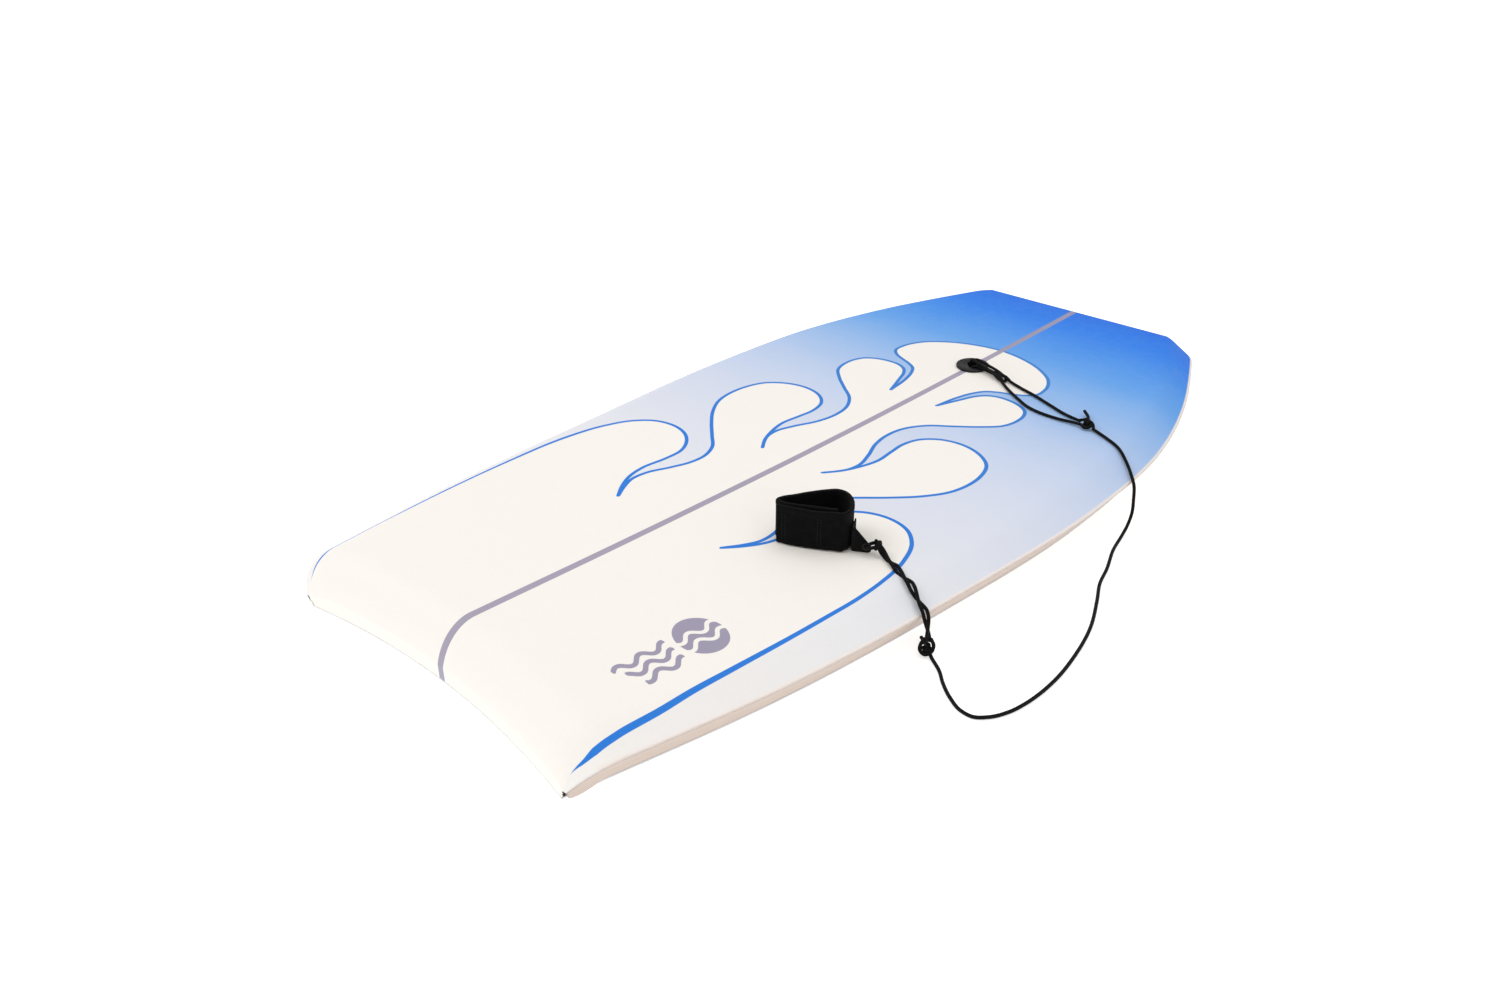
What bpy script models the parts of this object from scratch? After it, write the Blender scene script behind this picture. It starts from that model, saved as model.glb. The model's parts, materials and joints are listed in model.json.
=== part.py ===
"""Bodyboard with a leash plug, a cord leash and a wrist cuff.

Metres, +Z up. The nose points to +Y and the right rail is at +X.
The board lies on its slick skin, centred on the origin.
"""
import math

import bmesh
import bpy
import numpy as np
from mathutils import Matrix, Vector

# board
LENGTH = 1.05
HALF = LENGTH / 2
THICKNESS = 0.052
SEAM_HEIGHT = 0.034
DECK_CHAMFER = 0.031
NOSE_CHAMFER = 0.010
RAIL_UNDERCUT = 0.023
NOSE_UNDERCUT = 0.008
NOSE_CORNER = 0.026
TAIL_CORNER = 0.187
TAIL_CRESCENT = 0.020
CRESCENT_FADE = 0.20
TAIL_ROLL = 0.040
TAIL_EDGE = 0.002
FLAT_HALF = 0.03
NOSE_LIFT = 0.0075
NOSE_LIFT_POWER = 1.7
TAIL_LIFT = 0.009
TAIL_LIFT_POWER = 1.5
HALF_WIDTHS = [(-0.525, 0.209), (-0.325, 0.244), (-0.105, 0.265), (0.095, 0.274),
               (0.245, 0.263), (0.375, 0.228), (0.465, 0.191), (0.525, 0.163)]
DECK_SKIN = 0.004
SLICK_SKIN = 0.0016
SLICK_COLUMNS = 11
RAIL_STEP = 0.0008
RAIL_JOINT = 0.0010
GAP = 0.0004
CORNER_ROOM = 0.0030
TOUCH = 0.0003

# leash plug
PLUG_AT = (0.0, 0.276)
PLUG_FLANGE_R = 0.0195
PLUG_FLANGE = 0.0032
PLUG_RECESS = 0.0030
PLUG_BARREL_R = 0.013
PLUG_BARREL = 0.046
PLUG_WEB_TOP = 0.016
PLUG_WEB_BOTTOM = 0.022
STUD_R = 0.009
SLOT_LENGTH = 0.020
SLOT_WIDTH = 0.011
SLOT_TURN = math.radians(135)
BRIDGE_R = 0.0022
BRIDGE_DEPTH = 0.0030

# leash: routes of the cord's centre line, and its knots
CORD_R = 0.0017
CORD_STEP = 0.0135
LEASH_ROUTE = [(0.1975, 0.2155, 0.0564), (0.219, 0.207, 0.0554), (0.241, 0.195, 0.0540),
               (0.2555, 0.185, 0.0476), (0.267, 0.175, 0.0416), (0.2765, 0.166, 0.0342),
               (0.282, 0.1575, 0.0252), (0.2875, 0.147, 0.0152), (0.2905, 0.135, 0.0072),
               (0.2935, 0.119, 0.0027), (0.300, 0.091, 0.0019), (0.314, 0.052, 0.0019),
               (0.322, 0.025, 0.0019), (0.334, -0.001, 0.0019), (0.353, -0.047, 0.0019),
               (0.3645, -0.093, 0.0019), (0.3705, -0.136, 0.0019), (0.371, -0.160, 0.0019),
               (0.3695, -0.180, 0.0019), (0.3655, -0.199, 0.0019), (0.358, -0.2145, 0.0019),
               (0.3475, -0.224, 0.0019), (0.336, -0.224, 0.0019), (0.3205, -0.2165, 0.0019),
               (0.304, -0.204, 0.0019), (0.2915, -0.192, 0.0019), (0.278, -0.1835, 0.0027)]
UPPER_ROUTE = [(0.050, 0.267, 0.0592), (0.062, 0.263, 0.0570), (0.080, 0.257, 0.0562), (0.103, 0.2495, 0.0562),
               (0.130, 0.239, 0.0560), (0.155, 0.2295, 0.0558), (0.1775, 0.2235, 0.0567)]
LOWER_ROUTE = [(0.0475, 0.260, 0.0592), (0.057, 0.254, 0.0570), (0.071, 0.244, 0.0562), (0.095, 0.229, 0.0558),
               (0.112, 0.2195, 0.0556), (0.128, 0.215, 0.0556), (0.150, 0.214, 0.0556), (0.1775, 0.2160, 0.0567)]
NOSE_END_ROUTE = [(0.186, 0.2290, 0.0577), (0.179, 0.237, 0.0582), (0.170, 0.245, 0.0592)]
WRIST_ROUTE = [(0.1915, -0.1475, 0.0617), (0.199, -0.1490, 0.0577), (0.2075, -0.1520, 0.0562),
               (0.219, -0.1575, 0.0560), (0.230, -0.1625, 0.0562), (0.2410, -0.1675, 0.0534),
               (0.2535, -0.1730, 0.0468), (0.2640, -0.1765, 0.0382), (0.2680, -0.1780, 0.0262),
               (0.2690, -0.1785, 0.0142)]
WRIST_APART = (0.0011, 0.0018)
WRIST_END_ROUTE = [(0.2610, -0.1710, 0.0047), (0.2570, -0.1680, 0.0042), (0.2525, -0.1650, 0.0037)]
NOSE_HITCH = ((0.0300, 0.2710, 0.0616), (0.0165, 0.0070, 0.0036), math.radians(-22))
NOSE_KNOT = ((0.1880, 0.2200, 0.0590), (0.0080, 0.0072, 0.0052), math.radians(-25))
WRIST_KNOT = ((0.2685, -0.1790, 0.0056), (0.0075, 0.0070, 0.0052), math.radians(30))

# wrist cuff, laid out in its own plan axes: u along the loop, v across it
CUFF_AT = (0.131, -0.160)
CUFF_TURN = math.radians(30)
CUFF_HEIGHT = 0.040
CUFF_CLEAR = 0.0006
STRAP = 0.0035
PATCH = 0.0012
PATCH_MARGIN = 0.004
WEBBING = 0.0016
STRAP_ROUTE = [(0.0139, -0.0112), (0.0031, -0.0118), (-0.0127, -0.0116), (-0.0274, -0.0104),
               (-0.0385, -0.0078), (-0.0430, -0.0035), (-0.0396, 0.0015), (-0.0295, 0.0075),
               (-0.0148, 0.0165), (0.0000, 0.0235), (0.0081, 0.0258), (0.0166, 0.0225),
               (0.0231, 0.0140), (0.0266, 0.0030), (0.0262, -0.0080), (0.0244, -0.0132),
               (0.0216, -0.0168)]
NEAR_WALL = [(0.0181, -0.0112), (0.0139, -0.0112), (0.0031, -0.0118), (-0.0127, -0.0116),
             (-0.0274, -0.0104), (-0.0385, -0.0078)]
LOOP_BESIDE = 0.0027
HOOK_BESIDE = 0.00425
FLAP_BESIDE = 0.0070
FLAP_HINGE = (0.0202, -0.0182)
TAB_ROOT = [(0.0301, 0.0000), (0.0300, -0.0060), (0.0295, -0.0105), (0.0295, -0.0140)]
TAB_ROOT_HEIGHT = 0.026
TAB_TIP = 0.048
TAB_TIP_HEIGHT = 0.010
TAB_LINE = -0.0155
TAB_EYE = (0.0432, 0.0062)
TAB_EYE_R = 0.0030
WRIST_HITCH = ((0.0524, -0.0158, 0.0110), (0.0040, 0.0060, 0.0062))


def hermite(stations, at):
    """Value of the smooth curve through the stations, at a position along it."""
    xs = [s[0] for s in stations]
    ys = [s[1] for s in stations]
    slopes = np.gradient(ys, xs)
    k = min(max(int(np.searchsorted(xs, at)) - 1, 0), len(xs) - 2)
    span = xs[k + 1] - xs[k]
    t = (at - xs[k]) / span
    return (ys[k] * (1 + 2 * t) * (1 - t) ** 2 + ys[k + 1] * t * t * (3 - 2 * t)
            + span * (slopes[k] * t * (1 - t) ** 2 - slopes[k + 1] * t * t * (1 - t)))


def lift(y):
    """Rocker: how far the bottom has risen from the surface the board lies on."""
    past = (abs(y) - FLAT_HALF) / (HALF - FLAT_HALF)
    if past <= 0:
        return 0.0
    if y > 0:
        return NOSE_LIFT * past ** NOSE_LIFT_POWER
    return TAIL_LIFT * past ** TAIL_LIFT_POWER


def crescent(x, y):
    """Forward shift that hollows the tail between its two corners."""
    fade = 1 - min(max((y + HALF - TAIL_ROLL) / CRESCENT_FADE, 0), 1)
    return TAIL_CRESCENT * fade * fade * (3 - 2 * fade) * (1 - min((x / TAIL_CORNER) ** 2, 1))


def tail_rise(y, inset=0.0):
    """0 at the tail's edge to 1 where the deck has finished rolling down to it."""
    roll = TAIL_ROLL - inset
    run = min(max(y + HALF - inset + TAIL_EDGE, 0), roll)
    return math.sqrt(1 - (1 - run / roll) ** 2)


def half_width(y, side=0.0, nose=0.0):
    """Half width of the outline, moved in by side at the rails and by nose at the nose."""
    corner = NOSE_CORNER - (side + nose) / 2
    width = hermite(HALF_WIDTHS, y) - side - RAIL_UNDERCUT * (1 - tail_rise(y))
    past = y - (HALF - nose - corner)
    if past > 0:
        width -= corner - math.sqrt(max(corner ** 2 - past ** 2, 0))
    return width


SIDE_FLARE = math.hypot(DECK_CHAMFER, THICKNESS - SEAM_HEIGHT) / (THICKNESS - SEAM_HEIGHT)
NOSE_FLARE = math.hypot(NOSE_CHAMFER, THICKNESS - SEAM_HEIGHT) / (THICKNESS - SEAM_HEIGHT)


def soft_ramp(t, soft=0.3):
    """Zero, then a rounded corner, then a straight rise."""
    if t <= -soft:
        return 0.0
    if t >= soft:
        return t
    return (t + soft) ** 2 / (4 * soft)


def deck_height(x, y, under=0.0):
    """Height of the deck, or of a layer that lies a depth under it."""
    fall = THICKNESS - under - SEAM_HEIGHT
    share = fall / (THICKNESS - SEAM_HEIGHT)
    from_side = half_width(y, under * SIDE_FLARE, under * NOSE_FLARE) - abs(x)
    from_nose = HALF - under * NOSE_FLARE - y
    edge = max(1 - from_side / (DECK_CHAMFER * share), 1 - from_nose / (NOSE_CHAMFER * share))
    drop = fall * min(soft_ramp(edge), 1)
    return lift(y) + SEAM_HEIGHT * tail_rise(y) + (fall - drop) * tail_rise(y, under)


def rows(tail=0.0, nose=0.0):
    """Stations along the board, close together at the tail's roll and the nose's corners."""
    steps = [TAIL_ROLL * (1 - math.cos(k * math.pi / 12)) for k in range(6)]
    rear = np.linspace(TAIL_ROLL - HALF, -FLAT_HALF, 10) + HALF
    front = np.linspace(FLAT_HALF, HALF - NOSE_CORNER, 10) + HALF
    ends = [LENGTH - NOSE_CORNER * (1 - math.sin(k * math.pi / 12)) for k in range(1, 7)]
    scale = (LENGTH - tail - nose) / LENGTH
    return [-HALF + tail + s * scale for s in (*steps, *rear, *front, *ends)]


def columns(width, run):
    """Positions across one row, from the left edge to the right one."""
    flat = width - 1.35 * run
    right = [0.35 * flat, 0.7 * flat, flat, width - run, width - 0.65 * run, width - 0.3 * run, width]
    return [-x for x in reversed(right)] + [0.0] + right


def material(name, colour, roughness):
    made = bpy.data.materials.new(name)
    made.use_nodes = True
    shader = made.node_tree.nodes["Principled BSDF"]
    shader.inputs["Base Color"].default_value = (*colour, 1)
    shader.inputs["Roughness"].default_value = roughness
    return made


def add_object(name, mesh, colour, roughness, parent=None):
    """One named node with its own material."""
    made = bpy.data.objects.new(name, mesh)
    bpy.context.scene.collection.objects.link(made)
    made.data.materials.append(material(name, colour, roughness))
    made.parent = parent
    return made


def closed_mesh(name, rings, flat_ends=False):
    """Closed solid lofted through rings of points that all have the same count.

    A flat end is one face. Any other end is a strip between the ring's two halves.
    """
    shape = bmesh.new()
    made = [[shape.verts.new(point) for point in ring] for ring in rings]
    for first, second in zip(made, made[1:]):
        for k, vert in enumerate(first):
            after = (k + 1) % len(first)
            shape.faces.new((vert, first[after], second[after], second[k]))
    for ring in (made[0], made[-1]):
        if flat_ends:
            shape.faces.new(ring)
            continue
        for k in range(len(ring) // 2 - 1):
            shape.faces.new((ring[k], ring[k + 1], ring[-2 - k], ring[-1 - k]))
    bmesh.ops.recalc_face_normals(shape, faces=shape.faces)
    mesh = bpy.data.meshes.new(name)
    shape.to_mesh(mesh)
    shape.free()
    return mesh


def warped(point):
    x, y, z = point
    return (x, y + crescent(x, y), z)


def deck_row(y, under):
    """Points of one row of the deck, or of a layer under it."""
    width = half_width(y, under * SIDE_FLARE, under * NOSE_FLARE)
    run = DECK_CHAMFER * (THICKNESS - under - SEAM_HEIGHT) / (THICKNESS - SEAM_HEIGHT)
    return [(x, y, deck_height(x, y, under)) for x in columns(width, run)]


def deck_sheet(under):
    """Rows of the sheet that wraps the deck and hangs down behind the tail."""
    found = [deck_row(y, under) for y in rows(under, under * NOSE_FLARE)]
    hem = [(x, y, lift(y) + SLICK_SKIN + GAP) for x, y, z in found[0]]
    return [[warped(p) for p in row] for row in [hem, *found]]


def make_deck_skin():
    outer = deck_sheet(0.0)
    inner = deck_sheet(DECK_SKIN)
    rings = [top + list(reversed(below)) for top, below in zip(outer, inner)]
    add_object("deck_skin", closed_mesh("deck_skin", rings), (0.93, 0.90, 0.85), 0.5)


def undercut(y):
    return RAIL_UNDERCUT * tail_rise(y)


def core_under(y):
    """Depth of the core's top under the deck, with more room in the corners."""
    past = min(max((y - HALF + NOSE_CORNER) / NOSE_CORNER, 0), 1)
    return DECK_SKIN + GAP + CORNER_ROOM * max(past, 1 - tail_rise(y))


def make_foam_core():
    """Core block between the deck skin, the rails and the slick skin."""
    rail = DECK_SKIN * SIDE_FLARE
    rear = core_under(-HALF)
    front = NOSE_UNDERCUT + DECK_SKIN * NOSE_FLARE + GAP
    rings = []
    for y, low_y in zip(rows(rear, core_under(HALF) * NOSE_FLARE), rows(rear, front)):
        top = deck_row(y, core_under(y))
        width = half_width(low_y, undercut(low_y) + rail, front)
        floor = lift(low_y) + SLICK_SKIN + GAP
        bottom = [(x * width / top[-1][0], low_y, floor) for x, top_y, z in reversed(top)]
        rings.append([warped(p) for p in top + bottom])
    add_object("foam_core", closed_mesh("foam_core", rings), (0.95, 0.95, 0.93), 0.9)


def make_slick_skin():
    rings = []
    for y in rows(0.0, NOSE_UNDERCUT):
        width = half_width(y, undercut(y), NOSE_UNDERCUT)
        xs = [width * share for share in np.linspace(1, -1, SLICK_COLUMNS)]
        top = [(x, y, lift(y) + SLICK_SKIN) for x in xs]
        bottom = [(x, y, lift(y)) for x in reversed(xs)]
        rings.append([warped(p) for p in top + bottom])
    add_object("slick_skin", closed_mesh("slick_skin", rings), (0.86, 0.87, 0.88), 0.35)


def outline(ys):
    """Outline points with their outward plan normals, for stations from tail to nose."""
    points = [Vector((half_width(y), y)) for y in ys]
    found = []
    for k, point in enumerate(points):
        along = points[min(k + 1, len(points) - 1)] - points[max(k - 1, 0)]
        found.append((point, Vector((along.y, -along.x)).normalized()))
    return found


def rail_section(point, normal):
    """Four corners of a rail strip, square to the outline."""
    side = normal.x ** 2
    front = normal.y ** 2
    rim = DECK_SKIN * (SIDE_FLARE * side + NOSE_FLARE * front)
    slant = (RAIL_UNDERCUT * side + NOSE_UNDERCUT * front) * tail_rise(point.y)
    top = SEAM_HEIGHT * tail_rise(point.y) - GAP
    corners = []
    for inset, height in ((RAIL_STEP, top), (rim, top), (slant + rim - RAIL_STEP, SLICK_SKIN + GAP),
                          (slant, SLICK_SKIN + GAP)):
        at = point - normal * inset
        corners.append(warped((at.x, at.y, lift(at.y) + height)))
    return corners


def make_rails():
    """Lower rail strips: one on each side, and one around the nose."""
    corner = HALF - NOSE_CORNER
    start = -HALF + DECK_SKIN + GAP
    sides = [start] + [y for y in rows() if start + 0.002 < y < corner - 0.005] + [corner - RAIL_JOINT]
    bend = [corner + NOSE_CORNER * math.sin(k * math.pi / 16) for k in range(9)]
    around = outline(sides + bend)
    joint_normal = around[len(sides)][1]
    around[len(sides) - 1] = (around[len(sides) - 1][0], joint_normal)
    around[-1] = (around[-1][0], Vector((0, 1)))
    sections = [rail_section(point, normal) for point, normal in around]
    mirrored = [[(-x, y, z) for x, y, z in ring] for ring in sections]
    right, left = sections[:len(sides)], mirrored[:len(sides)]
    middle = rail_section(Vector((0, HALF)), Vector((0, 1)))
    nose = sections[len(sides):] + [middle] + list(reversed(mirrored[len(sides):]))
    for name, rings in (("right_rail", right), ("left_rail", left), ("nose_rail", nose)):
        add_object(name, closed_mesh(name, rings), (0.70, 0.61, 0.53), 0.6)


def turned(name, profile, segments=40):
    """Solid turned about its own Z axis, from a profile that starts and ends on it."""
    shape = bmesh.new()
    verts = [shape.verts.new((r, 0, z)) for r, z in profile]
    edges = [shape.edges.new(pair) for pair in zip(verts, verts[1:])]
    bmesh.ops.spin(shape, geom=verts + edges, axis=(0, 0, 1), cent=(0, 0, 0),
                   steps=segments, angle=2 * math.pi, use_merge=True)
    bmesh.ops.remove_doubles(shape, verts=shape.verts, dist=0.00001)
    bmesh.ops.recalc_face_normals(shape, faces=shape.faces)
    mesh = bpy.data.meshes.new(name)
    shape.to_mesh(mesh)
    shape.free()
    return mesh


def cylinder(name, radius, low, high, segments=40):
    return turned(name, [(0, low), (radius, low), (radius, high), (0, high)], segments)


def boolean(target, mesh, place, operation="DIFFERENCE"):
    """Cuts a hidden tool from an object, or joins it on."""
    tool = bpy.data.objects.new(target.name + "_tool", mesh)
    bpy.context.scene.collection.objects.link(tool)
    tool.matrix_world = place
    tool.hide_render = True
    tool.display_type = "WIRE"
    cut = target.modifiers.new(tool.name, "BOOLEAN")
    cut.operation = operation
    cut.solver = "EXACT"
    cut.object = tool


def plug_place():
    """The plug's frame: on the deck, square to it."""
    x, y = PLUG_AT
    step = 0.01
    slope = (deck_height(x, y + step) - deck_height(x, y - step)) / (2 * step)
    return Matrix.Translation((x, y, deck_height(x, y))) @ Matrix.Rotation(math.atan(slope), 4, "X")


def slot_mesh(length, width, low, high, segments=10):
    """Upright prism with round ends."""
    reach = (length - width) / 2
    ring = []
    for end in (1, -1):
        for k in range(segments + 1):
            turn = math.pi * k / segments - math.pi / 2
            ring.append((end * (reach + width / 2 * math.cos(turn)), end * width / 2 * math.sin(turn)))
    rings = [[(x, y, z) for x, y in ring] for z in (low, high)]
    return closed_mesh("slot", rings, flat_ends=True)


def make_plug():
    place = plug_place()
    for name in ("deck_skin", "foam_core", "slick_skin"):
        hole = cylinder(name + "_hole", PLUG_BARREL_R + GAP, -2 * THICKNESS, THICKNESS)
        boolean(bpy.data.objects[name], hole, place)
        if name != "deck_skin":
            seat = cylinder(name + "_seat", PLUG_FLANGE_R, -2 * THICKNESS, -THICKNESS + PLUG_RECESS + GAP)
            boolean(bpy.data.objects[name], seat, place)

    edge = 0.001
    profile = [(0, PLUG_FLANGE - 0.0006), (0.012, PLUG_FLANGE - 0.0006), (0.0155, PLUG_FLANGE),
               (PLUG_FLANGE_R - edge, PLUG_FLANGE), (PLUG_FLANGE_R, PLUG_FLANGE - edge),
               (PLUG_FLANGE_R, TOUCH), (PLUG_BARREL_R, TOUCH), (PLUG_BARREL_R, -PLUG_BARREL),
               (STUD_R + TOUCH, -PLUG_BARREL), (STUD_R + TOUCH, -PLUG_WEB_BOTTOM), (0, -PLUG_WEB_BOTTOM)]
    top = add_object("plug_top", turned("plug_top", profile), (0.02, 0.02, 0.022), 0.4)
    top.matrix_world = place
    slot = slot_mesh(SLOT_LENGTH, SLOT_WIDTH, -PLUG_WEB_TOP, 2 * PLUG_FLANGE)
    boolean(top, slot, place @ Matrix.Rotation(SLOT_TURN, 4, "Z"))
    across = Matrix.Rotation(SLOT_TURN, 4, "Z") @ Matrix.Rotation(math.pi / 2, 4, "X")
    reach = SLOT_WIDTH / 2 + 0.001
    bridge = cylinder("bridge", BRIDGE_R, -reach, reach, 16)
    boolean(top, bridge, place @ Matrix.Translation((0, 0, -BRIDGE_DEPTH)) @ across, "UNION")

    low = -THICKNESS + PLUG_RECESS
    profile = [(0, -PLUG_WEB_BOTTOM - 0.002), (STUD_R, -PLUG_WEB_BOTTOM - 0.002), (STUD_R, low),
               (PLUG_FLANGE_R - edge, low), (PLUG_FLANGE_R - edge, low - PLUG_FLANGE + edge),
               (PLUG_FLANGE_R - 2 * edge, low - PLUG_FLANGE), (0, low - PLUG_FLANGE)]
    base = add_object("plug_base", turned("plug_base", profile), (0.02, 0.02, 0.022), 0.4)
    base.matrix_world = place


def smooth_route(points, step):
    """Evenly spaced points on the smooth curve through a route's own points."""
    route = [Vector(p) for p in points]
    reach = [0.0]
    for first, second in zip(route, route[1:]):
        reach.append(reach[-1] + (second - first).length)
    lines = [[(s, p[axis]) for s, p in zip(reach, route)] for axis in range(3)]
    fine = [Vector([hermite(line, s) for line in lines]) for s in np.linspace(0, reach[-1], 400)]
    travelled = [0.0]
    for first, second in zip(fine, fine[1:]):
        travelled.append(travelled[-1] + (second - first).length)
    count = max(2, round(travelled[-1] / step) + 1)
    even = np.linspace(0, travelled[-1], count)
    return [Vector([np.interp(s, travelled, [p[axis] for p in fine]) for axis in range(3)]) for s in even]


def cord(name, points):
    """Plain tube with filled ends along a route."""
    curve = bpy.data.curves.new(name, "CURVE")
    curve.dimensions = "3D"
    curve.bevel_depth = CORD_R
    curve.bevel_resolution = 2
    curve.use_fill_caps = True
    spline = curve.splines.new("POLY")
    places = smooth_route(points, CORD_STEP)
    spline.points.add(len(places) - 1)
    for point, place in zip(spline.points, places):
        point.co = (*place, 1)
    return add_object(name, curve, (0.02, 0.02, 0.022), 0.7)


def lump(name, centre, radii, turn=0.0):
    """Closed rounded solid that holds the place of a knot or hitch."""
    shape = bmesh.new()
    size = Matrix.Diagonal((*radii, 1))
    bmesh.ops.create_uvsphere(shape, u_segments=16, v_segments=10, radius=1, matrix=size)
    mesh = bpy.data.meshes.new(name)
    shape.to_mesh(mesh)
    shape.free()
    made = add_object(name, mesh, (0.02, 0.02, 0.022), 0.7)
    made.location = centre
    made.rotation_euler = (0, 0, turn)
    return made


def make_leash():
    """Cord from the plug to the cuff, knotted at both ends, where it is doubled."""
    lump("nose_hitch", *NOSE_HITCH)
    cord("nose_strand_upper", UPPER_ROUTE)
    cord("nose_strand_lower", LOWER_ROUTE)
    lump("nose_knot", *NOSE_KNOT)
    cord("nose_knot_end", NOSE_END_ROUTE)
    cord("leash_cord", LEASH_ROUTE)
    lump("wrist_knot", *WRIST_KNOT)
    cord("wrist_knot_end", WRIST_END_ROUTE)
    dx, dy = WRIST_APART
    for name, way in (("wrist_strand_front", -1), ("wrist_strand_back", 1)):
        cord(name, [(x + way * dx, y + way * dy, z) for x, y, z in WRIST_ROUTE])
    (u, v, height), radii = WRIST_HITCH
    lump("wrist_hitch", cuff_place() @ Vector((u, v, height)), radii, CUFF_TURN)


def cuff_place():
    """The cuff's frame: standing on the deck, with u along the loop."""
    x, y = CUFF_AT
    base = max(deck_height(x + reach, y + reach) for reach in (-0.05, 0.0, 0.05)) + CUFF_CLEAR
    return Matrix.Translation((x, y, base)) @ Matrix.Rotation(CUFF_TURN, 4, "Z")


def beside(route, distance):
    """Plan route at a distance to the left of another one."""
    points = [Vector(p) for p in route]
    moved = []
    for k, point in enumerate(points):
        along = points[min(k + 1, len(points) - 1)] - points[max(k - 1, 0)]
        moved.append(point + Vector((-along.y, along.x)).normalized() * distance)
    return moved


def ribbon(name, route, thickness, low, highs, step=0.004, round_start=False):
    """Upright strip of even thickness; its top runs evenly from one height to the other."""
    points = [p.xy for p in smooth_route([(*p, 0) for p in route], step)]
    sides = [beside(points, way * thickness / 2) for way in (1, -1)]
    count = len(points) - 1
    rings = []
    for k, (left, right) in enumerate(zip(*sides)):
        top = highs[0] + (highs[1] - highs[0]) * k / count
        rings.append([(*left, low), (*right, low), (*right, top), (*left, top)])
    if round_start:
        back = (points[0] - points[1]).normalized()
        across = Vector((-back.y, back.x))
        for turn in (60, 30, 10):
            middle = points[0] + back * thickness / 2 * math.cos(math.radians(turn))
            half = across * thickness / 2 * math.sin(math.radians(turn))
            left, right = middle - half, middle + half
            rings.insert(0, [(*left, low), (*right, low), (*right, highs[0]), (*left, highs[0])])
    return closed_mesh(name, rings)


def make_tab(place):
    """Webbing tab: a root sewn round the band and a tapered tongue with an eye."""
    colour = (0.025, 0.025, 0.028)
    root_mesh = ribbon("cuff_tab", TAB_ROOT, WEBBING, 0.0, (TAB_ROOT_HEIGHT, TAB_ROOT_HEIGHT), 0.003)
    tab = add_object("cuff_tab", root_mesh, colour, 0.8)
    tab.matrix_world = place
    start = TAB_ROOT[-1][0] - WEBBING / 4
    side = [(start, 0.0), (TAB_TIP - 0.002, 0.0), (TAB_TIP, 0.002), (TAB_TIP, TAB_TIP_HEIGHT - 0.003),
            (TAB_TIP - 0.003, TAB_TIP_HEIGHT), (start + 0.002, TAB_ROOT_HEIGHT - 0.0004),
            (start, TAB_ROOT_HEIGHT - 0.0004)]
    rings = [[(u, v, z) for u, z in side] for v in (TAB_LINE - WEBBING / 2, TAB_LINE + WEBBING)]
    boolean(tab, closed_mesh("tongue", rings, flat_ends=True), place, "UNION")
    eye = cylinder("eye", TAB_EYE_R, -0.01, 0.01, 20)
    turn = Matrix.Rotation(math.pi / 2, 4, "X")
    boolean(tab, eye, place @ Matrix.Translation((TAB_EYE[0], TAB_LINE, TAB_EYE[1])) @ turn)


def make_cuff():
    """Wrist cuff standing on its edge: a strap loop closed by a hook-and-loop flap."""
    place = cuff_place()
    black = (0.03, 0.03, 0.033)
    full = (CUFF_HEIGHT, CUFF_HEIGHT)
    inner = (CUFF_HEIGHT - PATCH_MARGIN, CUFF_HEIGHT - PATCH_MARGIN)
    band = add_object("cuff_band", ribbon("cuff_band", STRAP_ROUTE, STRAP, 0.0, full), black, 0.85)
    band.matrix_world = place
    loop_route = beside(NEAR_WALL, LOOP_BESIDE)[1:-1]
    loop_mesh = ribbon("cuff_loop_patch", loop_route, PATCH, PATCH_MARGIN, inner)
    loop_patch = add_object("cuff_loop_patch", loop_mesh, black, 0.95)
    loop_patch.matrix_world = place
    make_tab(place)

    hinge = bpy.data.objects.new("flap_hinge", None)
    bpy.context.scene.collection.objects.link(hinge)
    hinge.matrix_world = place @ Matrix.Translation((*FLAP_HINGE, 0))
    back = Vector(FLAP_HINGE)
    flap_route = [(0, 0)] + [p - back for p in beside(NEAR_WALL, FLAP_BESIDE)[1:]]
    hook_route = [p - back for p in beside(NEAR_WALL, HOOK_BESIDE)[1:-1]]
    flap_mesh = ribbon("cuff_flap", flap_route, STRAP, 0.0, full, round_start=True)
    hook_mesh = ribbon("cuff_hook_patch", hook_route, PATCH, PATCH_MARGIN, inner)
    add_object("cuff_flap", flap_mesh, black, 0.85, hinge)
    add_object("cuff_hook_patch", hook_mesh, black, 0.95, hinge)


def main():
    for old in list(bpy.data.objects):
        bpy.data.objects.remove(old)
    make_deck_skin()
    make_foam_core()
    make_slick_skin()
    make_rails()
    make_plug()
    make_leash()
    make_cuff()


main()
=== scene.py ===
"""Looks of a bodyboard with a cord leash and a wrist cuff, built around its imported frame.

Metres, +Z up. The nose points to +Y and the right rail is at +X.
"""

import json
import math

import bmesh
import bpy
import numpy as np
from mathutils import Matrix, Vector

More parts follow.
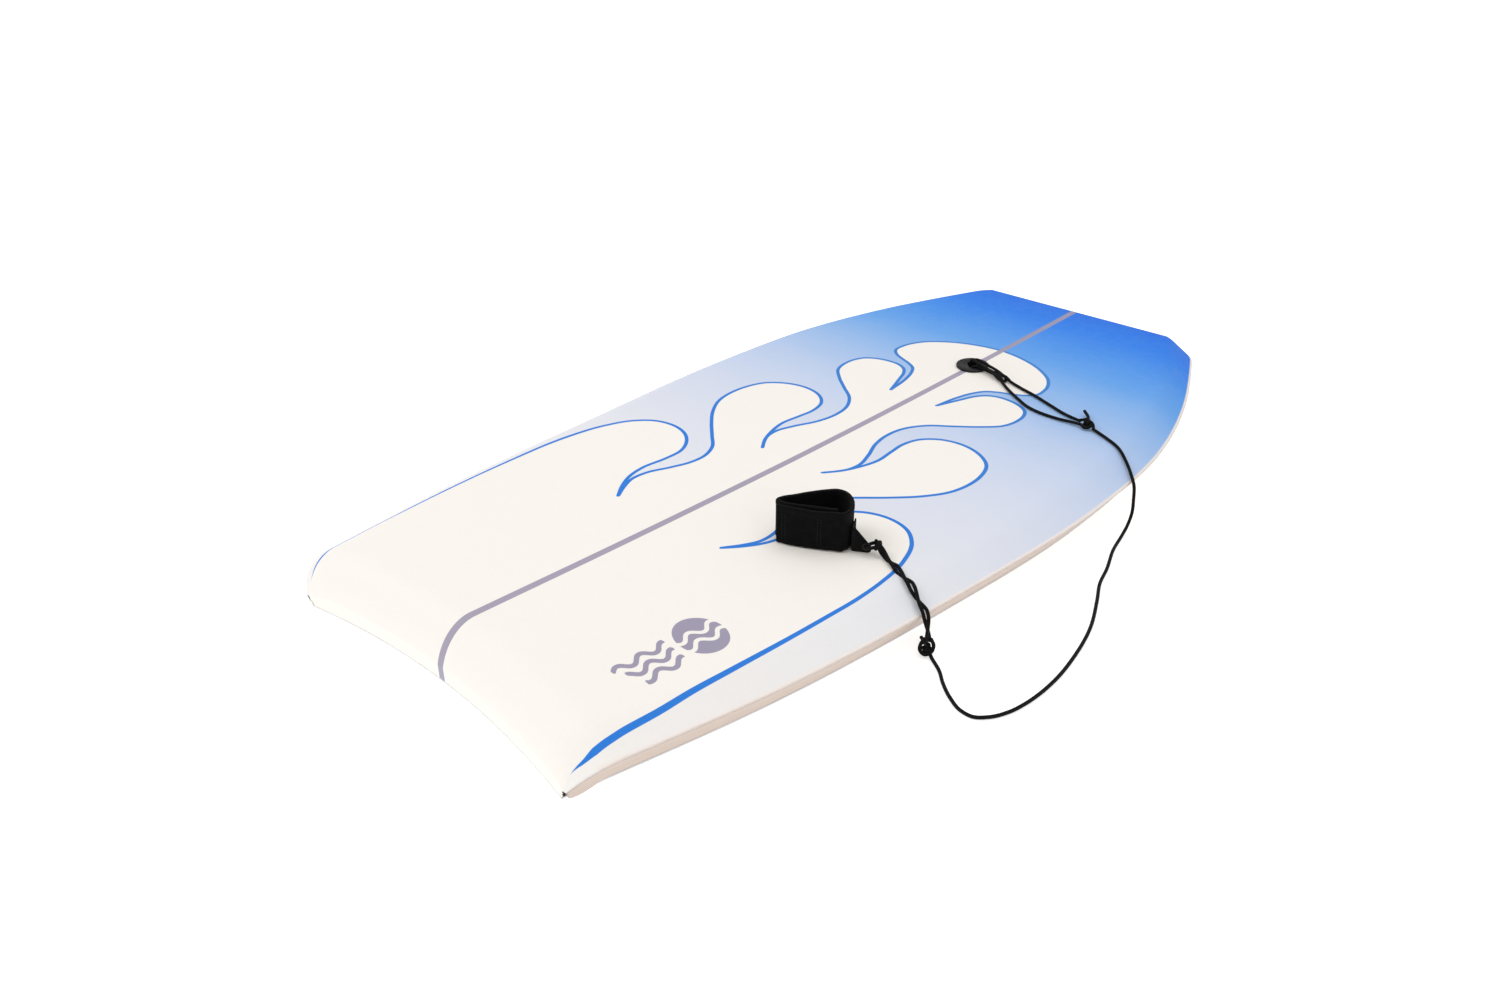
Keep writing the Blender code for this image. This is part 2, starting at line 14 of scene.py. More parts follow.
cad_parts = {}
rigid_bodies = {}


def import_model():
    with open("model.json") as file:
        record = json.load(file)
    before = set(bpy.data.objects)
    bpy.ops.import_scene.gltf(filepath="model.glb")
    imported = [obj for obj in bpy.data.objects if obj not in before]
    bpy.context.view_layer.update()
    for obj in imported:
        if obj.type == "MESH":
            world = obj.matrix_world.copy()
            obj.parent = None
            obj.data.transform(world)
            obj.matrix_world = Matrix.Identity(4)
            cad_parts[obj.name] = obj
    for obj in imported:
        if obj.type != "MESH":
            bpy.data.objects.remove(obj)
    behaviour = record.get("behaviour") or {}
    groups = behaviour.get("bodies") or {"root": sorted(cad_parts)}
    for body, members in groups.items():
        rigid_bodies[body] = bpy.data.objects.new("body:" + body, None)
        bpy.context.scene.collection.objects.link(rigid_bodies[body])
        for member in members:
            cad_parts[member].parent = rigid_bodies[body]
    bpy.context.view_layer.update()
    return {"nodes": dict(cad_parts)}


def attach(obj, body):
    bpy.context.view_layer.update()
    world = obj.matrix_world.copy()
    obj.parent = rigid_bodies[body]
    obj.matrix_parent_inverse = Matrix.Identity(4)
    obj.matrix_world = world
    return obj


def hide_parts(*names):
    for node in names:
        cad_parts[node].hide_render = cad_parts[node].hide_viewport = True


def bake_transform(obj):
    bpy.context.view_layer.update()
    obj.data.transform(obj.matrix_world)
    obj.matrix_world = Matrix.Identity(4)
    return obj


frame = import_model()

# board, as in the part
LENGTH = 1.05
HALF = LENGTH / 2
THICKNESS = 0.052
SEAM_HEIGHT = 0.034
DECK_CHAMFER = 0.031
NOSE_CHAMFER = 0.010
RAIL_UNDERCUT = 0.023
NOSE_UNDERCUT = 0.008
NOSE_CORNER = 0.026
TAIL_CORNER = 0.187
TAIL_CRESCENT = 0.020
CRESCENT_FADE = 0.20
TAIL_ROLL = 0.040
TAIL_EDGE = 0.002
FLAT_HALF = 0.03
NOSE_LIFT = 0.0075
NOSE_LIFT_POWER = 1.7
TAIL_LIFT = 0.009
TAIL_LIFT_POWER = 1.5
HALF_WIDTHS = [(-0.525, 0.209), (-0.325, 0.244), (-0.105, 0.265), (0.095, 0.274),
               (0.245, 0.263), (0.375, 0.228), (0.465, 0.191), (0.525, 0.163)]
DECK_SKIN = 0.004
SLICK_SKIN = 0.0016
RAIL_STEP = 0.0008
RAIL_JOINT = 0.0010
GAP = 0.0004

# leash plug
PLUG_AT = (0.0, 0.276)
PLUG_FLANGE_R = 0.0195
PLUG_FLANGE = 0.0032
PLUG_RECESS = 0.0030
PLUG_BARREL_R = 0.013
PLUG_BARREL = 0.046
PLUG_WEB_TOP = 0.016
PLUG_WEB_BOTTOM = 0.022
STUD_R = 0.009
SLOT_LENGTH = 0.020
SLOT_WIDTH = 0.011
SLOT_TURN = math.radians(135)
BRIDGE_R = 0.0022
BRIDGE_DEPTH = 0.0030
TOUCH = 0.0003

# leash
CORD_R = 0.0017
LEASH_ROUTE = [(0.1975, 0.2155, 0.0564), (0.219, 0.207, 0.0554), (0.241, 0.195, 0.0540),
               (0.2555, 0.185, 0.0476), (0.267, 0.175, 0.0416), (0.2765, 0.166, 0.0342),
               (0.282, 0.1575, 0.0252), (0.2875, 0.147, 0.0152), (0.2905, 0.135, 0.0072),
               (0.2935, 0.119, 0.0027), (0.300, 0.091, 0.0019), (0.314, 0.052, 0.0019),
               (0.322, 0.025, 0.0019), (0.334, -0.001, 0.0019), (0.353, -0.047, 0.0019),
               (0.3645, -0.093, 0.0019), (0.3705, -0.136, 0.0019), (0.371, -0.160, 0.0019),
               (0.3695, -0.180, 0.0019), (0.3655, -0.199, 0.0019), (0.358, -0.2145, 0.0019),
               (0.3475, -0.224, 0.0019), (0.336, -0.224, 0.0019), (0.3205, -0.2165, 0.0019),
               (0.304, -0.204, 0.0019), (0.2915, -0.192, 0.0019), (0.278, -0.1835, 0.0027)]
UPPER_ROUTE = [(0.050, 0.267, 0.0592), (0.062, 0.263, 0.0570), (0.080, 0.257, 0.0562),
               (0.103, 0.2495, 0.0562), (0.130, 0.239, 0.0560), (0.155, 0.2295, 0.0558),
               (0.1775, 0.2235, 0.0567)]
LOWER_ROUTE = [(0.0475, 0.260, 0.0592), (0.057, 0.254, 0.0570), (0.071, 0.244, 0.0562),
               (0.095, 0.229, 0.0558), (0.112, 0.2195, 0.0556), (0.128, 0.215, 0.0556),
               (0.150, 0.214, 0.0556), (0.1775, 0.2160, 0.0567)]
NOSE_END_ROUTE = [(0.186, 0.2290, 0.0577), (0.179, 0.237, 0.0582), (0.170, 0.245, 0.0592)]
WRIST_ROUTE = [(0.1915, -0.1475, 0.0617), (0.199, -0.1490, 0.0577), (0.2075, -0.1520, 0.0562),
               (0.219, -0.1575, 0.0560), (0.230, -0.1625, 0.0562), (0.2410, -0.1675, 0.0534),
               (0.2535, -0.1730, 0.0468), (0.2640, -0.1765, 0.0382), (0.2680, -0.1780, 0.0262),
               (0.2690, -0.1785, 0.0142)]
WRIST_END_ROUTE = [(0.2610, -0.1710, 0.0047), (0.2570, -0.1680, 0.0042), (0.2525, -0.1650, 0.0037)]
NOSE_KNOT = (0.1880, 0.2200, 0.0590)
WRIST_KNOT = (0.2685, -0.1790, 0.0056)

# cuff, laid out in its own plan axes: u along the loop, v across it
CUFF_AT = (0.131, -0.160)
CUFF_TURN = math.radians(30)
CUFF_HEIGHT = 0.040
CUFF_CLEAR = 0.0006
STRAP = 0.0035
PATCH = 0.0012
PATCH_MARGIN = 0.004
WEBBING = 0.0016
STRAP_ROUTE = [(0.0139, -0.0112), (0.0031, -0.0118), (-0.0127, -0.0116), (-0.0274, -0.0104),
               (-0.0385, -0.0078), (-0.0430, -0.0035), (-0.0396, 0.0015), (-0.0295, 0.0075),
               (-0.0148, 0.0165), (0.0000, 0.0235), (0.0081, 0.0258), (0.0166, 0.0225),
               (0.0231, 0.0140), (0.0266, 0.0030), (0.0262, -0.0080), (0.0244, -0.0132),
               (0.0216, -0.0168)]
NEAR_WALL = [(0.0181, -0.0112), (0.0139, -0.0112), (0.0031, -0.0118), (-0.0127, -0.0116),
             (-0.0274, -0.0104), (-0.0385, -0.0078)]
LOOP_BESIDE = 0.0027
HOOK_BESIDE = 0.00425
FLAP_BESIDE = 0.0070
FLAP_HINGE = (0.0202, -0.0182)
FLAP_ROOT = (0.0226, -0.0156)
TAB_ROOT = [(0.0301, 0.0000), (0.0300, -0.0060), (0.0295, -0.0105), (0.0295, -0.0140)]
TAB_ROOT_HEIGHT = 0.026
TAB_TIP = 0.048
TAB_TIP_HEIGHT = 0.010
TAB_LINE = -0.0155
TAB_EYE = (0.0432, 0.0062)
TAB_EYE_R = 0.0030

# printed graphic of the right half: each line runs from one crevice's tip to the next
NOSE_LOBE = [(0, 0.3405), (0.0269, 0.3363), (0.0707, 0.3177), (0.0903, 0.3006), (0.1022, 0.274),
             (0.1016, 0.256), (0.0925, 0.2463), (0.078, 0.239), (0.0645, 0.2334), (0.0525, 0.2255),
             (0.0445, 0.212), (0.0385, 0.193), (0.033, 0.157)]
FRONT_LOBE = [(0.033, 0.157), (0.039, 0.174), (0.0447, 0.1893), (0.051, 0.2055), (0.0589, 0.216),
              (0.0704, 0.222), (0.0858, 0.223), (0.1043, 0.2182), (0.1154, 0.2105), (0.1215, 0.198),
              (0.123, 0.1843), (0.1181, 0.1627), (0.1016, 0.1445), (0.0787, 0.1257), (0.0544, 0.1061),
              (0.0413, 0.0843), (0.0377, 0.0572), (0.0419, 0.033), (0.053, 0.0059), (0.0592, -0.0167),
              (0.0575, -0.0314), (0.051, -0.0443), (0.0425, -0.0562)]
MIDDLE_LOBE = [(0.0425, -0.0562), (0.0541, -0.0394), (0.0625, -0.019), (0.0675, 0.003), (0.0654, 0.0308),
               (0.064, 0.0518), (0.0699, 0.0735), (0.0852, 0.0882), (0.1114, 0.0947), (0.1382, 0.0878),
               (0.157, 0.0724), (0.1662, 0.0487), (0.1679, 0.0266), (0.1631, -0.0001), (0.1477, -0.0266),
               (0.1268, -0.05), (0.1025, -0.0735), (0.083, -0.093), (0.074, -0.1139), (0.074, -0.1342),
               (0.0808, -0.1576), (0.09, -0.183), (0.0905, -0.203), (0.0835, -0.22), (0.073, -0.2374)]
REAR_LOBE = [(0.073, -0.2374), (0.0862, -0.2204), (0.097, -0.2), (0.1015, -0.1779), (0.0996, -0.1462),
             (0.1013, -0.1225), (0.112, -0.1038), (0.1303, -0.0895), (0.15, -0.0845), (0.1768, -0.0902),
             (0.1945, -0.1064), (0.209, -0.1386), (0.2165, -0.1828), (0.218, -0.2137), (0.2167, -0.2561),
             (0.2146, -0.298), (0.2095, -0.3651), (0.206, -0.4046), (0.204, -0.4384), (0.2008, -0.4712),
             (0.1988, -0.5), (0.1965, -0.5095), (0.193, -0.516), (0.19, -0.5225)]
# how each lobe's outline closes through the pale middle, past its last tip
NOSE_CLOSE = [(0.050, 0.140), (0.025, 0.110), (-0.05, 0.110), (-0.05, 0.3405)]
FRONT_CLOSE = [(0.060, -0.075), (0.025, -0.105), (-0.05, -0.105), (-0.05, 0.157)]
MIDDLE_CLOSE = [(0.090, -0.255), (0.045, -0.295), (-0.05, -0.295), (-0.05, -0.0562)]
REAR_CLOSE = [(0.1870, -0.60), (-0.05, -0.60), (-0.05, -0.2374)]

# camera
CAMERA_AT = (0.7598, -0.9244, 0.6532)
CAMERA_AZIMUTH = math.radians(46.135)
CAMERA_ELEVATION = math.radians(29.305)
CAMERA_ROLL = math.radians(-1.487)
LENS = 29.28
FLOOR_REACH = 40
FLOOR_GLOW = 0.58
SKY = 0.60
SHIFT = (0.0338, -0.0011)


# ---------------------------------------------------------------- camera and light

def make_camera():
    az, el, roll = CAMERA_AZIMUTH, CAMERA_ELEVATION, CAMERA_ROLL
    back = Vector((math.sin(az) * math.cos(el), -math.cos(az) * math.cos(el), math.sin(el)))
    level = Vector((math.cos(az), math.sin(az), 0))
    upright = back.cross(level)
    right = math.cos(roll) * level + math.sin(roll) * upright
    up = back.cross(right)
    turn = Matrix((right, up, back)).transposed().to_4x4()
    data = bpy.data.cameras.new("camera")
    data.lens = LENS
    data.sensor_width = 36
    data.shift_x, data.shift_y = SHIFT
    camera = bpy.data.objects.new("camera", data)
    bpy.context.scene.collection.objects.link(camera)
    camera.matrix_world = Matrix.Translation(CAMERA_AT) @ turn
    bpy.context.scene.camera = camera


def area_light(name, place, aim, size, power, colour=(1, 1, 1)):
    data = bpy.data.lights.new(name, "AREA")
    data.shape = "SQUARE"
    data.size = size
    data.energy = power
    data.color = colour
    light = bpy.data.objects.new(name, data)
    bpy.context.scene.collection.objects.link(light)
    light.location = place
    light.rotation_euler = (Vector(aim) - Vector(place)).to_track_quat("-Z", "Y").to_euler()


def make_studio():
    """White floor and soft light from above, a little stronger from the camera's left."""
    scene = bpy.context.scene
    scene.view_settings.view_transform = "Standard"
    world = bpy.data.worlds.new("studio")
    scene.world = world
    world.use_nodes = True
    world.node_tree.nodes["Background"].inputs["Color"].default_value = (1, 1, 1, 1)
    world.node_tree.nodes["Background"].inputs["Strength"].default_value = SKY
    area_light("key", (-1.2, -1.4, 2.4), (0, 0, 0), 1.6, 23)
    area_light("top", (0.3, 0.5, 2.6), (0, 0, 0), 2.2, 17)
    area_light("fill", (1.8, -0.9, 1.1), (0, 0, 0), 1.5, 3)
    mesh = bpy.data.meshes.new("floor")
    reach = FLOOR_REACH
    mesh.from_pydata([(-reach, -reach, 0), (reach, -reach, 0), (reach, reach, 0), (-reach, reach, 0)],
                     [], [(0, 1, 2, 3)])
    floor = bpy.data.objects.new("floor", mesh)
    scene.collection.objects.link(floor)
    paint = bpy.data.materials.new("floor_white")
    paint.use_nodes = True
    shader = paint.node_tree.nodes["Principled BSDF"]
    shader.inputs["Base Color"].default_value = (0.80, 0.80, 0.80, 1)
    shader.inputs["Emission Color"].default_value = (1, 1, 1, 1)
    shader.inputs["Emission Strength"].default_value = FLOOR_GLOW
    shader.inputs["Roughness"].default_value = 0.9
    shader.inputs["Specular IOR Level"].default_value = 0.1
    mesh.materials.append(paint)


# ---------------------------------------------------------------- surfaces of the board

def hermite(stations, at):
    """Value of the smooth curve through the stations, at a position along it."""
    xs = [s[0] for s in stations]
    ys = [s[1] for s in stations]
    slopes = np.gradient(ys, xs)
    k = min(max(int(np.searchsorted(xs, at)) - 1, 0), len(xs) - 2)
    span = xs[k + 1] - xs[k]
    t = (at - xs[k]) / span
    return (ys[k] * (1 + 2 * t) * (1 - t) ** 2 + ys[k + 1] * t * t * (3 - 2 * t)
            + span * (slopes[k] * t * (1 - t) ** 2 - slopes[k + 1] * t * t * (1 - t)))


def lift(y):
    """Rocker: how far the bottom has risen."""
    past = (abs(y) - FLAT_HALF) / (HALF - FLAT_HALF)
    if past <= 0:
        return 0.0
    if y > 0:
        return NOSE_LIFT * past ** NOSE_LIFT_POWER
    return TAIL_LIFT * past ** TAIL_LIFT_POWER


def crescent(x, y):
    """Forward shift that hollows the tail between its two corners."""
    fade = 1 - min(max((y + HALF - TAIL_ROLL) / CRESCENT_FADE, 0), 1)
    return TAIL_CRESCENT * fade * fade * (3 - 2 * fade) * (1 - min((x / TAIL_CORNER) ** 2, 1))


def tail_rise(y):
    run = min(max(y + HALF + TAIL_EDGE, 0), TAIL_ROLL)
    return math.sqrt(1 - (1 - run / TAIL_ROLL) ** 2)


def half_width(y, side=0.0, nose=0.0):
    corner = NOSE_CORNER - (side + nose) / 2
    width = hermite(HALF_WIDTHS, y) - side - RAIL_UNDERCUT * (1 - tail_rise(y))
    past = y - (HALF - nose - corner)
    if past > 0:
        width -= corner - math.sqrt(max(corner ** 2 - past ** 2, 0))
    return width


def deck_height(x, y):
    """Height of the deck: flat, then a soft corner down to the rails and the nose."""
    fall = THICKNESS - SEAM_HEIGHT
    edge = max(1 - (half_width(y) - abs(x)) / DECK_CHAMFER, 1 - (HALF - y) / NOSE_CHAMFER)
    return lift(y) + SEAM_HEIGHT * tail_rise(y) + fall * (1 - min(soft_ramp(edge), 1)) * tail_rise(y)


def soft_ramp(t, soft=0.3):
    if t <= -soft:
        return 0.0
    if t >= soft:
        return t
    return (t + soft) ** 2 / (4 * soft)


def warped(point):
    """The point moved forward by the tail's crescent."""
    x, y, z = point
    return (x, y + crescent(x, y), z)


SIDE_FLARE = math.hypot(DECK_CHAMFER, THICKNESS - SEAM_HEIGHT) / (THICKNESS - SEAM_HEIGHT)
NOSE_FLARE = math.hypot(NOSE_CHAMFER, THICKNESS - SEAM_HEIGHT) / (THICKNESS - SEAM_HEIGHT)


def stations(step, rolled=18, cornered=12):
    """Places along the board: even, but closer in the tail's roll and the nose's corners."""
    rear = [TAIL_ROLL * (1 - math.cos(k * math.pi / (2 * rolled))) for k in range(rolled)]
    count = round((LENGTH - TAIL_ROLL - NOSE_CORNER) / step)
    middle = list(np.linspace(TAIL_ROLL, LENGTH - NOSE_CORNER, count))
    front = [LENGTH - NOSE_CORNER * (1 - math.sin(k * math.pi / (2 * cornered)))
             for k in range(1, cornered + 1)]
    return [s - HALF for s in rear + middle + front]


# ---------------------------------------------------------------- pieces

def add_piece(name, mesh, paint, body="board", smooth=True, replaces=()):
    mesh.name = name
    made = bpy.data.objects.new(name, mesh)
    bpy.context.scene.collection.objects.link(made)
    mesh.materials.append(paint)
    if smooth:
        for face in mesh.polygons:
            face.use_smooth = True
    if body:
        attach(made, body)
    if replaces:
        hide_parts(*replaces)
    return made


def outward(mesh):
    """The mesh with every face turned to face out."""
    shape = bmesh.new()
    shape.from_mesh(mesh)
    bmesh.ops.recalc_face_normals(shape, faces=shape.faces)
    shape.to_mesh(mesh)
    shape.free()
    return mesh


def mesh_from(verts, faces):
    mesh = bpy.data.meshes.new("made")
    mesh.from_pydata([tuple(v) for v in verts], [], faces)
    mesh.validate()
    return outward(mesh)


def grid(rows, count, closed=True):
    """Faces between rows of so many points each; a closed row joins its last point to its first."""
    faces = []
    for row in range(rows - 1):
        for k in range(count if closed else count - 1):
            here, after = row * count + k, row * count + (k + 1) % count
            faces.append((here, after, after + count, here + count))
    return faces


def skin(rings, us, vs, caps, cap_uvs):
    """Mesh over closed rings. U is one value for each ring, and V one for each place round it."""
    uvs = []
    for u0, u1 in zip(us, us[1:]):
        for v0, v1 in zip(vs, vs[1:]):
            uvs += [(u0, v0), (u0, v1), (u1, v1), (u1, v0)]
    mesh = bpy.data.meshes.new("made")
    verts = [tuple(p) for ring in rings for p in ring]
    mesh.from_pydata(verts, [], grid(len(rings), len(rings[0])) + caps)
    layer = mesh.uv_layers.new(name="UVMap")
    layer.data.foreach_set("uv", np.array(uvs + cap_uvs, dtype=np.float32).ravel())
    return outward(mesh)


def travelled(path):
    """Distance along a path to each of its points."""
    return np.concatenate([[0], np.cumsum(np.linalg.norm(np.diff(path, axis=0), axis=1))])


def at_places(reach, values, places):
    """Values at places along a path, from those at its points."""
    return np.stack([np.interp(places, reach, values[:, axis]) for axis in range(3)], axis=-1)


def headings(path):
    """Direction of a path at each of its points."""
    ways = np.gradient(path, axis=0)
    return ways / np.linalg.norm(ways, axis=1)[:, None]


# ---------------------------------------------------------------- materials

class Paint:
    """A Principled material and short calls that add nodes to it."""

    def __init__(self, name, roughness=0.5, specular=0.5):
        self.made = bpy.data.materials.new(name)
        self.made.use_nodes = True
        self.tree = self.made.node_tree
        self.shader = self.tree.nodes["Principled BSDF"]
        self.shader.inputs["Roughness"].default_value = roughness
        self.shader.inputs["Specular IOR Level"].default_value = specular

    def put(self, value, socket):
        if isinstance(value, bpy.types.NodeSocket):
            self.tree.links.new(value, socket)
        else:
            socket.default_value = value

    def node(self, kind, **inputs):
        made = self.tree.nodes.new(kind)
        for name, value in inputs.items():
            self.put(value, made.inputs[name.replace("_", " ")])
        return made

    def math(self, operation, *values):
        made = self.tree.nodes.new("ShaderNodeMath")
        made.operation = operation
        for value, socket in zip(values, made.inputs):
            self.put(value, socket)
        return made.outputs[0]

    def times(self, *values):
        return self.math("MULTIPLY", *values)

    def plus(self, *values):
        return self.math("ADD", *values)

    def place(self):
        return self.node("ShaderNodeTexCoord").outputs["Object"]

    def parts(self, vector):
        return self.node("ShaderNodeSeparateXYZ", Vector=vector).outputs

    def uv(self):
        return self.parts(self.node("ShaderNodeTexCoord").outputs["UV"])

    def attribute(self, name):
        made = self.node("ShaderNodeAttribute")
        made.attribute_name = name
        return made.outputs

    def noise(self, scale, detail=3.0, rough=0.5, at=None):
        made = self.node("ShaderNodeTexNoise", Vector=at or self.place(), Scale=scale, Detail=detail,
                         Roughness=rough)
        return made.outputs["Fac"]

    def cells(self, scale, feature="F1"):
        made = self.node("ShaderNodeTexVoronoi", Vector=self.place(), Scale=scale)
        made.feature = feature
        return made.outputs["Distance"]

    def mix(self, share, first, second):
        made = self.tree.nodes.new("ShaderNodeMix")
        made.data_type = "RGBA"
        self.put(share, made.inputs["Factor"])
        for value, name in ((first, "A"), (second, "B")):
            socket = [s for s in made.inputs if s.name == name and s.type == "RGBA"][0]
            self.put((*value, 1) if isinstance(value, tuple) else value, socket)
        return [s for s in made.outputs if s.type == "RGBA"][0]

    def spread(self, value, low, high, to_low=0.0, to_high=1.0):
        return self.node("ShaderNodeMapRange", Value=value, From_Min=low, From_Max=high, To_Min=to_low,
                         To_Max=to_high).outputs["Result"]

    def ramp(self, value, stops):
        made = self.node("ShaderNodeValToRGB", Fac=value)
        line = made.color_ramp
        while len(line.elements) < len(stops):
            line.elements.new(0.5)
        for element, (at, colour) in zip(line.elements, stops):
            element.position = at
            element.color = (*colour, 1)
        return made.outputs["Color"]

    def colour(self, value):
        self.put((*value, 1) if isinstance(value, tuple) else value, self.shader.inputs["Base Color"])

    def rough(self, value):
        self.put(value, self.shader.inputs["Roughness"])

    def bump(self, height, distance, strength=1.0):
        made = self.node("ShaderNodeBump", Height=height, Distance=distance, Strength=strength)
        self.put(made.outputs["Normal"], self.shader.inputs["Normal"])


def srgb(red, green, blue):
    """Linear colour of an sRGB one, given in steps of 255."""
    found = []
    for step in (red, green, blue):
        share = step / 255
        found.append(share / 12.92 if share <= 0.04045 else ((share + 0.055) / 1.055) ** 2.4)
    return tuple(found)


def foam_grain(paint, fine=900, depth=0.00012):
    """Bump of close-celled sheet foam: fine cells over a slow unevenness."""
    fine_cells = paint.cells(fine)
    slow = paint.noise(60, 2)
    paint.bump(paint.plus(fine_cells, paint.times(slow, 1.5)), depth)


CREAM = srgb(250, 245, 238)
STRIPE_GREY = srgb(160, 153, 174)
LINE_WIDTH = 0.0042
TAIL_LINE_WIDTH = 0.0052
PRINT_EDGE = 0.00015
FADE_END = 0.53
STRIPE_HALF = 0.0040


def print_paint():
    """Sheet foam printed with the flame graphic, the fade, the centre stripe and a plain mark."""
    paint = Paint("printed_foam", 0.58, 0.18)
    x, y, z = paint.parts(paint.place())
    fade = paint.spread(y, -FADE_END, FADE_END)
    fade_noise = paint.spread(paint.noise(14, 2), 0, 1, -0.012, 0.012)
    stops = [(-FADE_END, (247, 243, 238)), (-0.38, (243, 239, 236)), (-0.26, (238, 237, 238)),
             (-0.14, (231, 232, 238)), (-0.02, (221, 225, 238)), (0.04, (214, 221, 238)),
             (0.10, (204, 216, 239)), (0.16, (190, 208, 238)), (0.22, (168, 197, 238)),
             (0.28, (140, 184, 238)), (0.34, (102, 166, 238)), (0.40, (74, 149, 238)),
             (0.46, (42, 130, 238)), (0.51, (34, 118, 232)), (FADE_END, (28, 104, 220))]
    ramp = [((at + FADE_END) / (2 * FADE_END), srgb(*colour)) for at, colour in stops]
    ground = paint.ramp(paint.plus(fade, fade_noise), ramp)

    lobes = paint.attribute("lobes")
    first, second, third = paint.parts(lobes["Vector"])
    nearest = paint.math("MAXIMUM", paint.math("MAXIMUM", first, second),
                         paint.math("MAXIMUM", third, lobes["Alpha"]))
    inside = paint.spread(nearest, -0.0002, 0.0002)
    colour = paint.mix(inside, ground, CREAM)

    tail_part = paint.spread(y, -0.30, -0.47)
    tapered = paint.spread(y, -0.500, -0.5215, 1.0, -0.15)
    width = paint.times(paint.spread(tail_part, 0, 1, LINE_WIDTH, TAIL_LINE_WIDTH), tapered)
    off_line = paint.math("SUBTRACT", paint.math("ABSOLUTE", nearest), paint.times(width, 0.5))
    line = paint.spread(off_line, PRINT_EDGE, -PRINT_EDGE)
    line_blue = paint.mix(paint.spread(y, -0.1, 0.3), srgb(34, 124, 220), srgb(58, 130, 208))
    colour = paint.mix(line, colour, line_blue)

    mark = paint.attribute("mark")
    disc, cut, waves = paint.parts(mark["Vector"])
    emblem = paint.math("MAXIMUM", paint.math("MINIMUM", disc, cut), waves)
    colour = paint.mix(paint.spread(emblem, -PRINT_EDGE, PRINT_EDGE), colour, STRIPE_GREY)

    off_stripe = paint.math("SUBTRACT", paint.math("ABSOLUTE", x), STRIPE_HALF)
    stripe = paint.spread(off_stripe, PRINT_EDGE, -PRINT_EDGE)
    colour = paint.mix(paint.times(stripe, 0.94), colour, STRIPE_GREY)

    lip = paint.attribute("lip")["Fac"]
    colour = paint.mix(paint.spread(lip, 0.0034, 0.0022), colour, srgb(247, 236, 229))
    mottle = paint.spread(paint.noise(420, 3, 0.6), 0.3, 0.7, 0.0, 0.030)
    colour = paint.mix(mottle, colour, srgb(186, 192, 212))
    paint.colour(colour)
    paint.rough(paint.spread(paint.noise(90, 3), 0.3, 0.7, 0.46, 0.62))
    foam_grain(paint, 1100, 0.00010)
    return paint.made


def rail_paint():
    """Beige rail foam, with the fine lines of its cut."""
    paint = Paint("rail_foam", 0.7, 0.25)
    x, y, z = paint.parts(paint.place())
    lines = paint.noise(1, 3, 0.6, paint.node("ShaderNodeCombineXYZ", X=paint.times(x, 30),
                                              Y=paint.times(y, 30),
                                              Z=paint.times(z, 900)).outputs[0])
    colour = paint.mix(paint.spread(lines, 0.3, 0.7), srgb(201, 185, 174), srgb(209, 194, 183))
    paint.colour(colour)
    foam_grain(paint, 800, 0.00016)
    return paint.made


def core_paint():
    """Moulded bead foam."""
    paint = Paint("bead_foam", 0.8, 0.3)
    beads = paint.cells(260)
    joints = paint.cells(260, feature="DISTANCE_TO_EDGE")
    paint.colour(paint.mix(paint.spread(joints, 0.0, 0.12), srgb(214, 214, 212), srgb(243, 243, 240)))
    paint.bump(paint.math("SUBTRACT", 1.0, beads), 0.0006)
    return paint.made


def slick_paint():
    """Glossy plastic sheet, with faint long scuffs."""
    paint = Paint("slick_sheet", 0.25, 0.5)
    x, y, z = paint.parts(paint.place())
    along = paint.node("ShaderNodeCombineXYZ", X=paint.times(x, 600), Y=paint.times(y, 9),
                       Z=z).outputs[0]
    scuffs = paint.noise(1, 4, 0.65, along)
    paint.colour(paint.mix(paint.spread(scuffs, 0.35, 0.7), srgb(238, 238, 236), srgb(226, 227, 228)))
    paint.rough(paint.spread(scuffs, 0.35, 0.75, 0.16, 0.40))
    paint.bump(paint.noise(22, 2), 0.0006, 0.5)
    paint.shader.inputs["Coat Weight"].default_value = 0.3
    paint.shader.inputs["Coat Roughness"].default_value = 0.12
    return paint.made


def plastic_paint():
    """Black moulded plastic with a fine spark-eroded grain."""
    paint = Paint("moulded_plastic", 0.42, 0.3)
    paint.colour(paint.mix(paint.noise(300, 3), srgb(8, 8, 9), srgb(16, 15, 16)))
    paint.rough(paint.spread(paint.noise(700, 2), 0.3, 0.7, 0.34, 0.5))
    paint.bump(paint.noise(2600, 2), 0.00006)
    return paint.made


def braid_paint():
    """Braided cord: two sets of strands that cross. U runs along the cord, V round it."""
    paint = Paint("braided_cord", 0.66, 0.12)
    u, v, w = paint.uv()
    along = paint.times(u, 2 * math.pi / 0.0042)
    around = paint.times(v, 2 * math.pi * 4)
    one = paint.math("SINE", paint.plus(along, around))
    other = paint.math("SINE", paint.math("SUBTRACT", along, around))
    top = paint.math("MAXIMUM", one, other)
    height = paint.plus(top, paint.times(paint.noise(1800, 2), 0.5))
    # Colour follows the strands' relief: painted shade in the grooves between strands, lighter on the strand
    # tops.
    paint.colour(paint.mix(paint.spread(height, -0.4, 1.4), srgb(2, 2, 2), srgb(15, 14, 15)))
    paint.bump(height, 0.00022)
    paint.shader.inputs["Sheen Weight"].default_value = 0.02
    return paint.made


